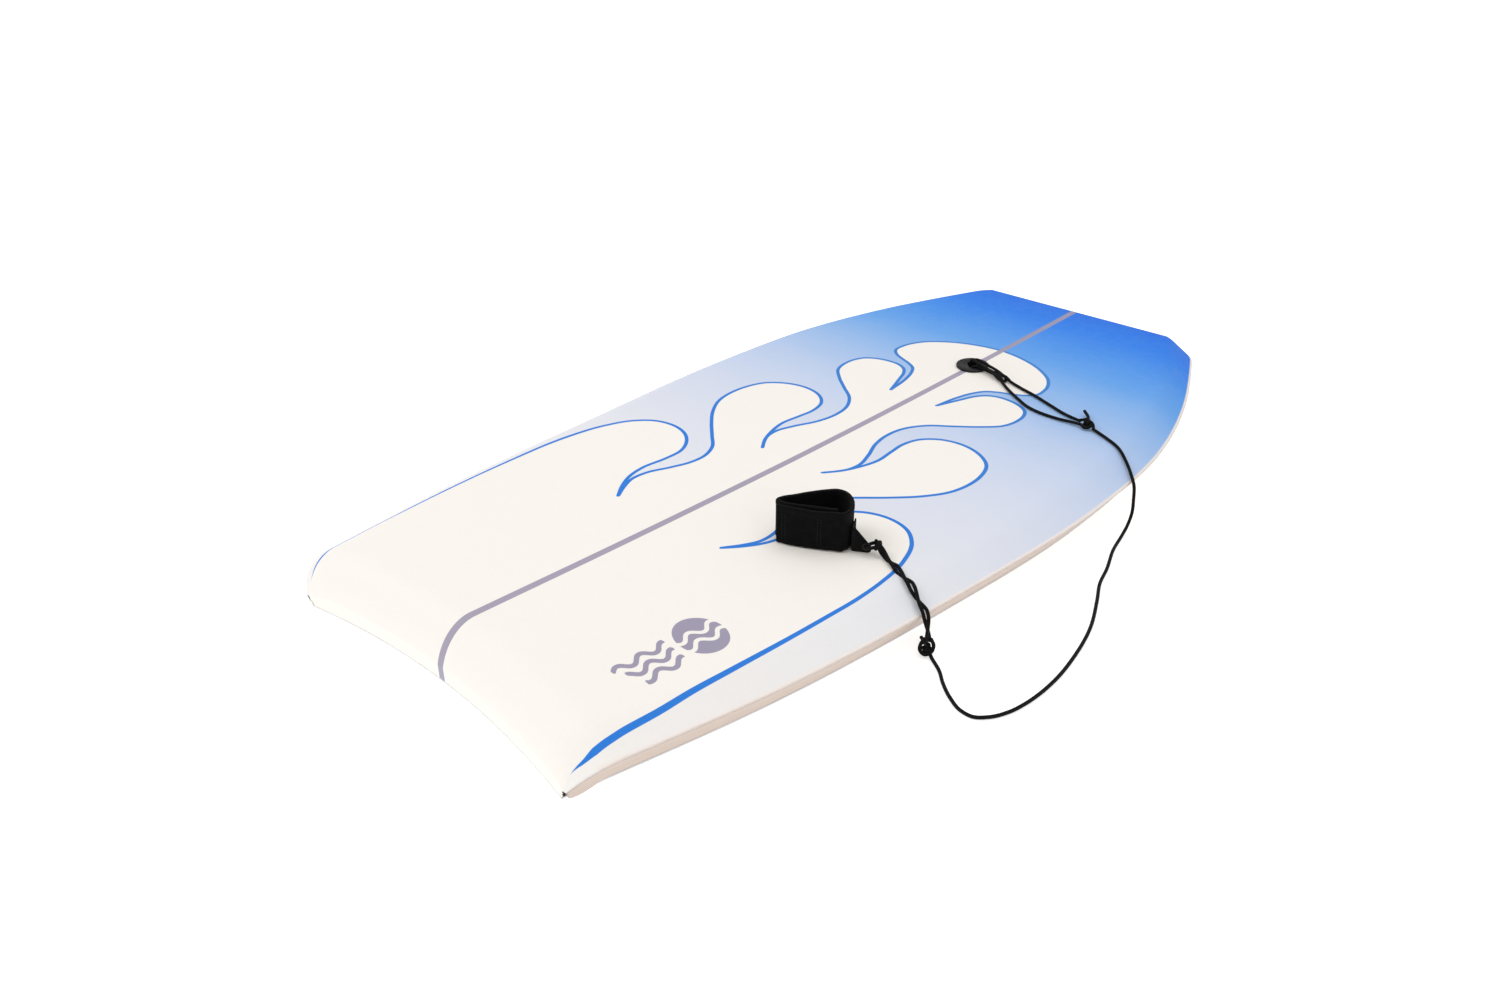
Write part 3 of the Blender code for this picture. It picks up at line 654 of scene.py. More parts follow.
def knit_paint(name, dark, light, scale=0.0011, depth=0.00010, pile=0.0):
    """Nylon jersey on neoprene: rows of small stitches. U and V are in metres."""
    paint = Paint(name, 0.8, 0.08)
    u, v, w = paint.uv()
    rib = paint.math("SINE", paint.times(u, 2 * math.pi / scale))
    row = paint.math("SINE", paint.plus(paint.times(v, 2 * math.pi / (scale * 0.8)),
                                        paint.times(rib, 0.8)))
    height = paint.plus(paint.times(rib, 0.6), paint.times(row, 0.5))
    fuzz = paint.noise(2400, 4, 0.7)
    height = paint.plus(height, paint.times(fuzz, 1.0 + 4 * pile))
    paint.colour(paint.mix(paint.spread(paint.noise(120, 3), 0.3, 0.7), dark, light))
    paint.bump(height, depth)
    paint.shader.inputs["Sheen Weight"].default_value = 0.02 + 0.12 * pile
    return paint.made


def weave_paint():
    """Webbing: thick yarns over and under. U and V are in metres."""
    paint = Paint("woven_webbing", 0.75, 0.1)
    u, v, w = paint.uv()
    warp = paint.math("SINE", paint.times(u, 2 * math.pi / 0.0017))
    weft = paint.math("SINE", paint.times(v, 2 * math.pi / 0.0013))
    height = paint.times(warp, weft)
    height = paint.plus(height, paint.times(paint.noise(2200, 3), 0.6))
    # Colour follows the yarns' relief: painted shade where a yarn dips under, lighter where it rides over.
    paint.colour(paint.mix(paint.spread(height, -1, 1.5), srgb(3, 3, 3), srgb(16, 15, 16)))
    paint.bump(height, 0.00022)
    return paint.made


def thread_paint():
    paint = Paint("thread", 0.6, 0.3)
    paint.colour(paint.mix(paint.noise(900, 2), srgb(15, 14, 15), srgb(28, 27, 29)))
    paint.bump(paint.noise(3000, 2), 0.00008)
    return paint.made


# ---------------------------------------------------------------- the graphic

def smooth_line(points, step=0.0015):
    """Evenly sampled smooth curve through a line's points, with free ends."""
    route = np.array(points)
    reach = travelled(route)
    lines = [list(zip(reach, route[:, axis])) for axis in range(route.shape[1])]
    count = max(8, round(reach[-1] / step))
    return np.array([[hermite(line, s) for line in lines] for s in np.linspace(0, reach[-1], count)])


def line_distance(points, line):
    """Distance from each point to a broken line."""
    best = np.full(len(points), np.inf)
    for first, second in zip(line, line[1:]):
        along = second - first
        share = np.clip(((points - first) @ along) / max(along @ along, 1e-12), 0, 1)
        away = points - first - share[:, None] * along
        np.minimum(best, np.einsum("ij,ij->i", away, away), out=best)
    return np.sqrt(best)


def inside_of(points, loop):
    """True for each point inside a closed loop."""
    found = np.zeros(len(points), bool)
    x, y = points[:, 0], points[:, 1]
    for (ax, ay), (bx, by) in zip(loop, np.roll(loop, -1, axis=0)):
        if ay == by:
            continue
        crosses = (ay > y) != (by > y)
        found ^= crosses & (x < (bx - ax) * (y - ay) / (by - ay) + ax)
    return found


def lobe_depth(points, line, close):
    """How deep each point lies inside one lobe of the graphic; negative outside it."""
    loop = np.vstack([smooth_line(line), np.array(close)])
    closed = np.vstack([loop, loop[:1]])
    depth = line_distance(points, closed)
    return np.where(inside_of(points, loop), depth, -depth)


MARK_AT = (0.160, -0.352)
MARK_DISC = (0.0270, 0.0240)
WAVE_LENGTH = 0.026
WAVE_RISE = 0.0042


def wave_depth(x, y, line_x, low, high, half):
    """How deep each point lies inside a wavy stroke that runs along the board."""
    centre = line_x + WAVE_RISE * np.sin(2 * math.pi * (y - MARK_AT[1]) / WAVE_LENGTH)
    slope = WAVE_RISE * 2 * math.pi / WAVE_LENGTH * np.cos(2 * math.pi * (y - MARK_AT[1]) / WAVE_LENGTH)
    across = half - np.abs(x - centre) / np.sqrt(1 + slope ** 2)
    return np.minimum(across, np.minimum(y - low, high - y))


def mark_depths(x, y):
    """The plain mark that takes the place of a maker's one: a disc cut by waves, and wavy strokes."""
    u, v = (x - MARK_AT[0]) / MARK_DISC[0], (y - MARK_AT[1]) / MARK_DISC[1]
    disc = (1 - np.sqrt(u ** 2 + v ** 2)) * MARK_DISC[1]
    low, high = MARK_AT[1] - 0.04, MARK_AT[1] + 0.04
    cut = -np.maximum(wave_depth(x, y, MARK_AT[0] - 0.0055, low, high, 0.0022),
                      wave_depth(x, y, MARK_AT[0] + 0.0075, low, high, 0.0022))
    strokes = [wave_depth(x, y, MARK_AT[0] + away, -0.444 + shift, -0.382, 0.0026)
               for away, shift in ((-0.012, 0.0), (0.001, 0.008), (0.014, 0.016))]
    return disc, cut, np.maximum.reduce(strokes)


# ---------------------------------------------------------------- the board's pieces

DECK_STEP = 0.0024
BOARD_STEP = 0.006
HEM_STEPS = 7


def make_deck(paint):
    """Printed deck skin: one fine sheet over the deck and the rails, rolled down behind the tail."""
    places = stations(DECK_STEP)
    count = round(2 * 0.274 / DECK_STEP)
    shares = np.linspace(-1, 1, count + 1)
    flat = []
    verts = []
    for row, y in enumerate(places):
        width = half_width(y)
        line = [(width * share, y, deck_height(width * share, y)) for share in shares]
        if row == 0:
            base = lift(y) + SLICK_SKIN + GAP
            seam = lift(y) + SEAM_HEIGHT * tail_rise(y)
            for k in range(HEM_STEPS):
                part = k / HEM_STEPS
                under = max(0.0, 1 - (line[0][2] - base) * part / (seam - base))
                narrow = 1 - RAIL_UNDERCUT * tail_rise(y) * under / width
                verts += [warped((x * narrow, y, base + (z - base) * part)) for x, y, z in line]
                flat += [(x, y - (1 - part) * (z - base)) for x, y, z in line]
        verts += [warped(p) for p in line]
        flat += [(x, y) for x, y, z in line]
    across = len(shares)
    rows = len(places) + HEM_STEPS
    hole = (PLUG_BARREL_R + PLUG_FLANGE_R) / 2
    from_plug = [math.hypot(x - PLUG_AT[0], y - PLUG_AT[1]) for x, y, z in verts]
    faces = [face for face in grid(rows, across, closed=False) if from_plug[face[0]] >= hole - DECK_STEP / 2]

    border = [row * across + across - 1 for row in range(rows)]
    border += [(rows - 1) * across + k for k in range(across - 2, -1, -1)]
    border += [row * across for row in range(rows - 2, -1, -1)]
    border += list(range(1, across - 1))
    points = [Vector(verts[k]) for k in border]
    rings = [border]
    for inset, rise in ((0.0003, -0.00015), (0.0010, -0.0002), (DECK_SKIN, -0.0002)):
        ring = []
        for k, point in enumerate(points):
            along = points[(k + 1) % len(points)] - points[k - 1]
            out = Vector((along.y, -along.x, 0)).normalized()
            if abs(point.x) > TAIL_CORNER and point.y < -HALF + GAP:
                out = Vector((math.copysign(1, point.x), 0, 0))
            ring.append(len(verts))
            verts.append(point - out * inset + Vector((0, 0, rise)))
            flat.append(flat[border[k]])
        rings.append(ring)
    for first, second in zip(rings, rings[1:]):
        for k in range(len(first)):
            after = (k + 1) % len(first)
            faces.append((first[k], first[after], second[after], second[k]))
    mesh = mesh_from(verts, faces)
    if len(mesh.vertices) != len(flat):
        raise ValueError("the deck's mesh lost points")

    spots = np.array(flat)
    mirrored = np.column_stack([np.abs(spots[:, 0]), spots[:, 1]])
    depths = [lobe_depth(mirrored, line, close) for line, close in
              ((NOSE_LOBE, NOSE_CLOSE), (FRONT_LOBE, FRONT_CLOSE), (MIDDLE_LOBE, MIDDLE_CLOSE),
               (REAR_LOBE, REAR_CLOSE))]
    lobes = mesh.attributes.new("lobes", "FLOAT_COLOR", "POINT")
    lobes.data.foreach_set("color", np.column_stack(depths).ravel())
    mark = mesh.attributes.new("mark", "FLOAT_VECTOR", "POINT")
    mark.data.foreach_set("vector", np.column_stack(mark_depths(spots[:, 0], spots[:, 1])).ravel())
    widths = np.array([half_width(max(y, -HALF)) for y in spots[:, 1]])
    to_edge = np.minimum(widths - np.abs(spots[:, 0]), HALF - spots[:, 1])
    to_edge[np.array(sum(rings[1:], []))] = 0
    to_edge[spots[:, 1] < -HALF + TAIL_ROLL / 2] = 1
    lip = mesh.attributes.new("lip", "FLOAT", "POINT")
    lip.data.foreach_set("value", to_edge)
    return add_piece("deck_print", mesh, paint, replaces=("deck_skin",))


def outline(ys):
    """Points of the right edge with their outward directions."""
    points = [Vector((half_width(y), y)) for y in ys]
    found = []
    for k, point in enumerate(points):
        along = points[min(k + 1, len(points) - 1)] - points[max(k - 1, 0)]
        found.append((point, Vector((along.y, -along.x)).normalized()))
    return found


def rail_section(point, normal):
    """Ring of a rail strip, square to the outline, with its two outer corners rounded."""
    side, front = normal.x ** 2, normal.y ** 2
    rise = tail_rise(point.y)
    rim = DECK_SKIN * (SIDE_FLARE * side + NOSE_FLARE * front)
    slant = (RAIL_UNDERCUT * side + NOSE_UNDERCUT * front) * rise
    top = SEAM_HEIGHT * rise - GAP
    low = SLICK_SKIN + GAP
    soft = min(0.0012, (top - low) * 0.2)
    run = (slant - RAIL_STEP) / max(top - low, 0.001)
    ring = [(rim, top), (RAIL_STEP + soft, top), (RAIL_STEP + run * soft * 0.3, top - soft * 0.3)]
    for share in (0.12, 0.35, 0.6, 0.85):
        height = top + (low - top) * share
        belly = 0.0006 * math.sin(math.pi * share)
        ring.append((RAIL_STEP + run * (top - height) - belly, height))
    ring += [(slant - run * soft * 0.5, low + soft * 0.5), (slant + soft * 0.6, low), (slant + rim, low)]
    found = []
    for inset, height in ring:
        at = point - normal * inset
        found.append(warped((at.x, at.y, lift(at.y) + height)))
    return found


def strip(rings):
    """Solid over closed rings, with a face across each end."""
    count = len(rings[0])
    last = (len(rings) - 1) * count
    caps = [tuple(range(count)), tuple(range(last, last + count))]
    return mesh_from([p for ring in rings for p in ring], grid(len(rings), count) + caps)


def make_rails(paint):
    corner = HALF - NOSE_CORNER
    between = [y for y in stations(BOARD_STEP) if 0.001 - HALF < y < corner - BOARD_STEP / 2]
    sides = [-HALF] + between + [corner - RAIL_JOINT]
    bend = [corner + NOSE_CORNER * math.sin(k * math.pi / 40) for k in range(21)]
    around = outline(sides + bend)
    around[len(sides) - 1] = (around[len(sides) - 1][0], around[len(sides)][1])
    around[-1] = (around[-1][0], Vector((0, 1)))
    sections = [rail_section(point, normal) for point, normal in around]
    mirrored = [[(-x, y, z) for x, y, z in ring] for ring in sections]
    across = np.linspace(half_width(HALF), -half_width(HALF), 41)[1:-1]
    nose = [rail_section(Vector((x, HALF)), Vector((0, 1))) for x in across]
    nose = sections[len(sides):] + nose + list(reversed(mirrored[len(sides):]))
    for name, rings in (("right_rail", sections[:len(sides)]), ("left_rail", mirrored[:len(sides)]),
                        ("nose_rail", nose)):
        add_piece(name + "_foam", strip(rings), paint, replaces=(name,))


def make_slick(paint):
    """Slick sheet under the board, with the recess for the plug's lower half."""
    shares = np.linspace(-1, 1, 61)
    verts = []
    places = [-HALF + (y + HALF) * (LENGTH - NOSE_UNDERCUT) / LENGTH for y in stations(BOARD_STEP)]
    for y in places:
        width = half_width(y, RAIL_UNDERCUT * tail_rise(y), NOSE_UNDERCUT)
        verts += [warped((width * share, y, lift(y))) for share in shares]
    mesh = mesh_from(verts, grid(len(places), len(shares), closed=False))
    made = add_piece("slick_sheet", mesh, paint, replaces=("slick_skin",))
    thick = made.modifiers.new("thick", "SOLIDIFY")
    thick.thickness = SLICK_SKIN
    thick.offset = -1
    hole = disc_prism(PLUG_FLANGE_R, -2 * THICKNESS, -THICKNESS + PLUG_RECESS + GAP)
    cut(made, hole, plug_place())
    settle(made)
    return made


def settle(made):
    """Applies a piece's modifiers."""
    graph = bpy.context.evaluated_depsgraph_get()
    mesh = bpy.data.meshes.new_from_object(made.evaluated_get(graph))
    made.modifiers.clear()
    made.data = mesh
    for tool in [o for o in bpy.data.objects if o.name.startswith("tool")]:
        bpy.data.objects.remove(tool)


def cut(target, mesh, place, operation="DIFFERENCE"):
    tool = bpy.data.objects.new("tool", mesh)
    bpy.context.scene.collection.objects.link(tool)
    tool.matrix_world = place
    made = target.modifiers.new(tool.name, "BOOLEAN")
    made.operation = operation
    made.solver = "EXACT"
    made.object = tool


def lathe(profile, segments=96):
    """Solid turned about Z from a profile that starts and ends on the axis."""
    shape = bmesh.new()
    verts = [shape.verts.new((r, 0, z)) for r, z in profile]
    edges = [shape.edges.new(pair) for pair in zip(verts, verts[1:])]
    bmesh.ops.spin(shape, geom=verts + edges, axis=(0, 0, 1), cent=(0, 0, 0),
                   steps=segments, angle=2 * math.pi, use_merge=True)
    bmesh.ops.remove_doubles(shape, verts=shape.verts, dist=0.000005)
    bmesh.ops.recalc_face_normals(shape, faces=shape.faces)
    mesh = bpy.data.meshes.new("made")
    shape.to_mesh(mesh)
    shape.free()
    return mesh


def disc_prism(radius, low, high, segments=96):
    return lathe([(0, low), (radius, low), (radius, high), (0, high)], segments)


def plug_place():
    x, y = PLUG_AT
    step = 0.01
    slope = (deck_height(x, y + step) - deck_height(x, y - step)) / (2 * step)
    return Matrix.Translation((x, y, deck_height(x, y))) @ Matrix.Rotation(math.atan(slope), 4, "X")


def rounded(corners, radius, steps=5):
    """Profile through corners (r, z, round or not), with an arc at each that is rounded."""
    found = []
    for k, (r, z, soft) in enumerate(corners):
        if not soft:
            found.append((r, z))
            continue
        here = Vector((r, z))
        before = (Vector(corners[k - 1][:2]) - here).normalized()
        after = (Vector(corners[k + 1][:2]) - here).normalized()
        for j in range(steps + 1):
            t = j / steps
            bend = here + before * radius * (1 - t) ** 2 + after * radius * t ** 2
            found.append(tuple(bend))
    return found


def slot_prism(length, width, low, high, segments=24):
    reach = (length - width) / 2
    ring = []
    for end in (1, -1):
        for k in range(segments + 1):
            turn = math.pi * k / segments - math.pi / 2
            ring.append((end * (reach + width / 2 * math.cos(turn)), end * width / 2 * math.sin(turn)))
    return strip([[(x, y, z) for x, y in ring] for z in (low, high)])


def make_plug(paint):
    """The plug's two moulded halves, with softened rims and a coin slot under the lower one."""
    place = plug_place()
    top = PLUG_FLANGE
    corners = [(0, top - 0.0009, False), (0.0105, top - 0.0009, False), (0.0125, top - 0.0003, True),
               (0.0150, top, True), (PLUG_FLANGE_R, top, True), (PLUG_FLANGE_R, 0.00005, True),
               (PLUG_BARREL_R, 0.00005, False), (PLUG_BARREL_R, -PLUG_BARREL, False),
               (STUD_R + TOUCH, -PLUG_BARREL, False), (STUD_R + TOUCH, -PLUG_WEB_BOTTOM, False),
               (0, -PLUG_WEB_BOTTOM, False)]
    upper = add_piece("plug_upper_half", lathe(rounded(corners, 0.0008)), paint,
                      smooth=False, replaces=("plug_top",))
    upper.matrix_world = place
    turn = Matrix.Rotation(SLOT_TURN, 4, "Z")
    cut(upper, slot_prism(SLOT_LENGTH, SLOT_WIDTH, -PLUG_WEB_TOP, 2 * top), place @ turn)
    reach = SLOT_WIDTH / 2 + 0.001
    across = turn @ Matrix.Rotation(math.pi / 2, 4, "X")
    bridge = disc_prism(BRIDGE_R, -reach, reach, 32)
    cut(upper, bridge, place @ Matrix.Translation((0, 0, -BRIDGE_DEPTH)) @ across, "UNION")
    for k in range(4):
        spot = Matrix.Rotation(SLOT_TURN + math.pi / 4 + k * math.pi / 2, 4, "Z")
        dimple = disc_prism(0.0011, top - 0.0011, 2 * top, 20)
        cut(upper, dimple, place @ spot @ Matrix.Translation((0.0160, 0, 0)))
    settle(upper)

    low = -THICKNESS + PLUG_RECESS
    under = low - PLUG_FLANGE
    corners = [(0, -PLUG_WEB_BOTTOM - 0.002, False), (STUD_R, -PLUG_WEB_BOTTOM - 0.002, True),
               (STUD_R, low, False), (PLUG_FLANGE_R - 0.001, low, False),
               (PLUG_FLANGE_R - 0.001, under, True), (0.0150, under, True),
               (0.0135, under + 0.0006, True), (0, under + 0.0006, False)]
    lower = add_piece("plug_lower_half", lathe(rounded(corners, 0.0007)), paint,
                      smooth=False, replaces=("plug_base",))
    lower.matrix_world = place
    cut(lower, slot_prism(0.018, 0.0026, under - 0.002, under + 0.0022), place)
    settle(lower)
    for half in (upper, lower):
        for face in half.data.polygons:
            face.use_smooth = True
        half.data.set_sharp_from_angle(angle=math.radians(32))


# ---------------------------------------------------------------- the leash

TIED_STEP = 0.0010
FREE_STEP = 0.0020


def spaced(points, step):
    """Evenly spaced points on the smooth curve through a route."""
    fine = smooth_line([tuple(p) for p in points], 0.0008)
    reach = travelled(fine)
    count = max(2, round(reach[-1] / step) + 1)
    return at_places(reach, fine, np.linspace(0, reach[-1], count))


def frames(path):
    """A steady side direction for each point of a path, carried along it without twist."""
    ways = headings(path)
    side = np.cross(ways[0], (0.0, 0.0, 1.0))
    if np.linalg.norm(side) < 0.01:
        side = np.cross(ways[0], (0.0, 1.0, 0.0))
    found = []
    for way in ways:
        side = side - way * (side @ way)
        side = side / np.linalg.norm(side)
        found.append((way, side, np.cross(way, side)))
    return found


def tube(path, radius, sides=14):
    """Mesh tube along a path, with rounded ends. U is metres along it and V goes round it."""
    path = np.array(path)
    reach = travelled(path)
    axes = frames(path)
    ends = [(0.0, 0.35), (0.55, 0.80), (0.9, 0.97)]
    places = [(path[0] - axes[0][0] * radius * 0.6 * (1 - share), axes[0], radius * size, 0.0)
              for share, size in ends]
    places += [(point, axis, radius, u) for point, axis, u in zip(path, axes, reach)]
    places += [(path[-1] + axes[-1][0] * radius * 0.6 * (1 - share), axes[-1], radius * size, reach[-1])
               for share, size in reversed(ends)]
    turns = [2 * math.pi * j / sides for j in range(sides)]
    rings = [[point + (side * math.cos(turn) + up * math.sin(turn)) * size for turn in turns]
             for point, (way, side, up), size, u in places]
    last = (len(rings) - 1) * sides
    caps = [tuple(range(sides)), tuple(range(last, last + sides))]
    cap_uvs = [(0.0, 0.0)] * sides + [(reach[-1], 0.0)] * sides
    return skin(rings, [place[3] for place in places], [j / sides for j in range(sides + 1)], caps, cap_uvs)


def wrapped(centre, way, up, radius, turns, pitch, start, count):
    """Points of a coil round a line: the turns that make a knot's body."""
    way = Vector(way).normalized()
    side = way.cross(Vector(up)).normalized()
    over = side.cross(way)
    found = []
    for k in range(count + 1):
        share = k / count
        turn = start + 2 * math.pi * turns * share
        along = way * (pitch * turns * (share - 0.5))
        away = (side * math.cos(turn) + over * math.sin(turn)) * radius
        found.append(tuple(Vector(centre) + along + away))
    return found


HITCH_ROOT = (0.004, 0.2775)
HITCH_WAY = (0.959, -0.282)


def hitch_at(along, across, height):
    """Point in the hitch's own axes: along it from the plug, across it, and up."""
    (x, y), (dx, dy) = HITCH_ROOT, HITCH_WAY
    return (x + dx * along - dy * across, y + dy * along + dx * across, height)


def hitch_route():
    """Lark's head: both strands pass under the bight, down the well and round the bridge."""
    in_well = [(0.0062, 0.2734, 0.0537), (0.0052, 0.2744, 0.0484), (0.0018, 0.2778, 0.0456),
               (-0.0016, 0.2812, 0.0484), (-0.0026, 0.2822, 0.0537)]
    other = [(x - 0.0026, y - 0.0026, z) for x, y, z in reversed(in_well)]
    first = [(0.0580, 0.0025, 0.0580), (0.0510, 0.0021, 0.0602), (0.0430, 0.0019, 0.0597),
             (0.0340, 0.0019, 0.0586), (0.0220, 0.0018, 0.0583), (0.0125, 0.0017, 0.0584)]
    bight = [(0.0075, 0.0042, 0.0620), (0.0200, 0.0037, 0.0619), (0.0320, 0.0038, 0.0613),
             (0.0420, 0.0048, 0.0590), (0.0490, 0.0046, 0.0569), (0.0532, 0.0018, 0.0560),
             (0.0534, -0.0017, 0.0560), (0.0500, -0.0047, 0.0569), (0.0420, -0.0049, 0.0590),
             (0.0320, -0.0037, 0.0613), (0.0200, -0.0034, 0.0619), (0.0070, -0.0024, 0.0620)]
    last = [(0.0055, -0.0050, 0.0582), (0.0125, -0.0033, 0.0584), (0.0220, -0.0020, 0.0583),
            (0.0340, -0.0020, 0.0586), (0.0430, -0.0023, 0.0597), (0.0500, -0.0036, 0.0600),
            (0.0560, -0.0064, 0.0580)]
    return ([hitch_at(*p) for p in first] + [(0.0085, 0.2744, 0.0578)] + in_well
            + [(-0.0020, 0.2840, 0.0590)] + [hitch_at(*p) for p in bight]
            + [(-0.0045, 0.2800, 0.0598)] + other + [(0.0045, 0.2694, 0.0570)]
            + [hitch_at(*p) for p in last])


def twisted(route, turns, reach, way):
    """One of two strands that lie on a surface and cross over each other by turns."""
    path = spaced(route, 0.0015)
    found = []
    for k, (along, side, up) in enumerate(frames(path)):
        share = k / (len(path) - 1)
        open_up = reach * (1 + 0.35 * math.sin(math.pi * share))
        turn = 2 * math.pi * turns * share + 0.25 * math.pi
        over = max(0.0, way * math.sin(turn)) * 2.0 * CORD_R
        found.append(path[k] + side * (way * open_up * math.cos(turn)) + up * over)
    return np.array(found)


def add_cord(name, path, node, paint):
    """A free length of cord along its path."""
    made = add_piece(name, tube(path, CORD_R), paint, replaces=(node,))
    return made


def knot_route(centre, way, lead_in, lead_out, turns, start, radius, pitch):
    """Route in from one lead, round the knot's body and out along the other."""
    body = wrapped(centre, way, (0, 0, 1), radius, turns, pitch, start, 24)
    return list(lead_in) + body[1:-1] + list(lead_out)


def from_knot(centre, offsets):
    """Places at offsets from a knot's middle."""
    return [tuple(a + b for a, b in zip(centre, offset)) for offset in offsets]


def make_leash(paint):
    """The leash: its hitch at the plug, two knots, the doubled ends and the hitch in the tab."""
    def tied(name, route, *nodes, step=TIED_STEP):
        return add_piece(name, tube(spaced(route, step), CORD_R), paint, replaces=nodes)

    hitch = tied("nose_hitch_tied", hitch_route(), "nose_hitch", step=0.0011)

    end = list(reversed(NOSE_END_ROUTE))[:2] + from_knot(NOSE_KNOT, [(-0.004, 0.0085, -0.001)])
    out = from_knot(NOSE_KNOT, [(0.006, -0.0005, 0.0015), (0.0105, -0.0045, -0.0026)])
    wraps = knot_route(NOSE_KNOT, (0.93, -0.36, 0.0), end, out, 2.2, 0.9, 0.0031, 0.0035)
    core = from_knot(NOSE_KNOT, [(-0.0125, 0.0035, -0.0020), (-0.006, 0.0038, 0.0005),
                                 (0.001, 0.0010, 0.0012), (0.0065, -0.0055, -0.0005),
                                 (0.002, -0.0078, -0.0022), (-0.0045, -0.0050, -0.0018),
                                 (-0.0125, -0.0045, -0.0022)])
    nose_knot = tied("nose_knot_wraps", wraps, "nose_knot_end")
    nose_core = tied("nose_knot_core", core, "nose_knot")
    upper, lower = spaced(UPPER_ROUTE, FREE_STEP), spaced(LOWER_ROUTE, FREE_STEP)
    add_cord("nose_loop_upper", upper, "nose_strand_upper", paint)
    add_cord("nose_loop_lower", lower, "nose_strand_lower", paint)

    end = list(reversed(WRIST_END_ROUTE))[:2] + from_knot(WRIST_KNOT, [(-0.0060, 0.0060, 0.0)])
    out = from_knot(WRIST_KNOT, [(0.0045, -0.0010, -0.0015), (0.0090, -0.0043, -0.0028)])
    middle = from_knot(WRIST_KNOT, [(0, 0, 0.0006)])[0]
    wraps = knot_route(middle, (0.72, -0.55, -0.42), end, out, 2.1, 2.2, 0.0029, 0.0034)
    core = from_knot(WRIST_KNOT, [(-0.0014, -0.0012, 0.0119), (-0.0040, -0.0035, 0.0062),
                                  (-0.0035, -0.0055, 0.0010), (0.0020, -0.0060, -0.0012),
                                  (0.0055, -0.0010, 0.0004), (0.0050, 0.0030, 0.0049),
                                  (0.0022, 0.0022, 0.0114)])
    wrist_wraps = tied("wrist_knot_wraps", wraps, "wrist_knot_end")
    wrist_core = tied("wrist_knot_core", core, "wrist_knot")
    add_cord("leash_line", spaced(LEASH_ROUTE, 0.0025), "leash_cord", paint)

    front = twisted(WRIST_ROUTE, 1.9, CORD_R * 1.02, -1)
    back = twisted(WRIST_ROUTE, 1.9, CORD_R * 1.02, 1)
    place = cuff_place()
    eye_u, eye_z = TAB_EYE
    through = [(0.0555, -0.0158, 0.0100), (0.0500, -0.0118, 0.0092), (0.0455, -0.0122, 0.0072),
               (eye_u - 0.0006, TAB_LINE + 0.0006, eye_z), (0.0455, -0.0198, 0.0072),
               (0.0500, -0.0204, 0.0090), (0.0550, -0.0186, 0.0096)]
    route = [tuple(front[0])] + [tuple(place @ Vector(p)) for p in through] + [tuple(back[0])]
    loop = tied("wrist_hitch_loop", route, "wrist_hitch")
    collar = wrapped(place @ Vector((0.0540, -0.0163, 0.0096)), place.to_3x3() @ Vector((1, -0.1, -0.15)),
                     (0, 0, 1), 0.0037, 1.6, 0.0035, 2.0, 30)
    wrap = tied("wrist_hitch_wrap", collar)
    add_cord("wrist_loop_front", front, "wrist_strand_front", paint)
    add_cord("wrist_loop_back", back, "wrist_strand_back", paint)


# ---------------------------------------------------------------- the cuff

def cuff_place():
    x, y = CUFF_AT
    base = max(deck_height(x + reach, y + reach) for reach in (-0.05, 0.0, 0.05)) + CUFF_CLEAR
    return Matrix.Translation((x, y, base)) @ Matrix.Rotation(CUFF_TURN, 4, "Z")


def beside(route, distance):
    """Plan route at a distance to the left of another one."""
    points = [Vector(p) for p in route]
    moved = []
    for k, point in enumerate(points):
        along = points[min(k + 1, len(points) - 1)] - points[max(k - 1, 0)]
        moved.append(point + Vector((-along.y, along.x)).normalized() * distance)
    return moved


BINDING = 0.0055
BINDING_RISE = 0.00028
STRAP_STEP = 0.0016
CAP_U = 0.001
SWAY = 0.0004
SWAY_TURNS = 1.5
SWAY_START = 0.6
PUFF = 0.35
PUFF_TURNS = 4
PUFF_LEAN = 40


def strap_section(thickness, low, high, bound):
    """Half widths and heights up one side of a strap, rounded over its edges."""
    half = thickness / 2
    rise = BINDING_RISE if bound else 0.0
    edge = [(0.35, 0.0), (0.75, 0.0003), (0.95, 0.0009), (1.0, 0.0018)]
    side = [((half + rise) * share, low + up) for share, up in edge]
    if bound:
        side += [(half + rise, low + BINDING - 0.0004), (half, low + BINDING + 0.0002)]
    count = 7
    first = side[-1][1]
    last = high - (first - low)
    middle = [(half, first + (last - first) * k / count) for k in range(1, count)]
    return side + middle + [(w, high - (z - low)) for w, z in reversed(side)]


def swayed(sway, share, height):
    """How far a soft strap has risen and bellied out at a place along it and up it."""
    rise = math.sin(2 * math.pi * share * SWAY_TURNS + SWAY_START) * height / CUFF_HEIGHT
    return sway * rise, sway * PUFF * math.sin(2 * math.pi * share * PUFF_TURNS + PUFF_LEAN * height)


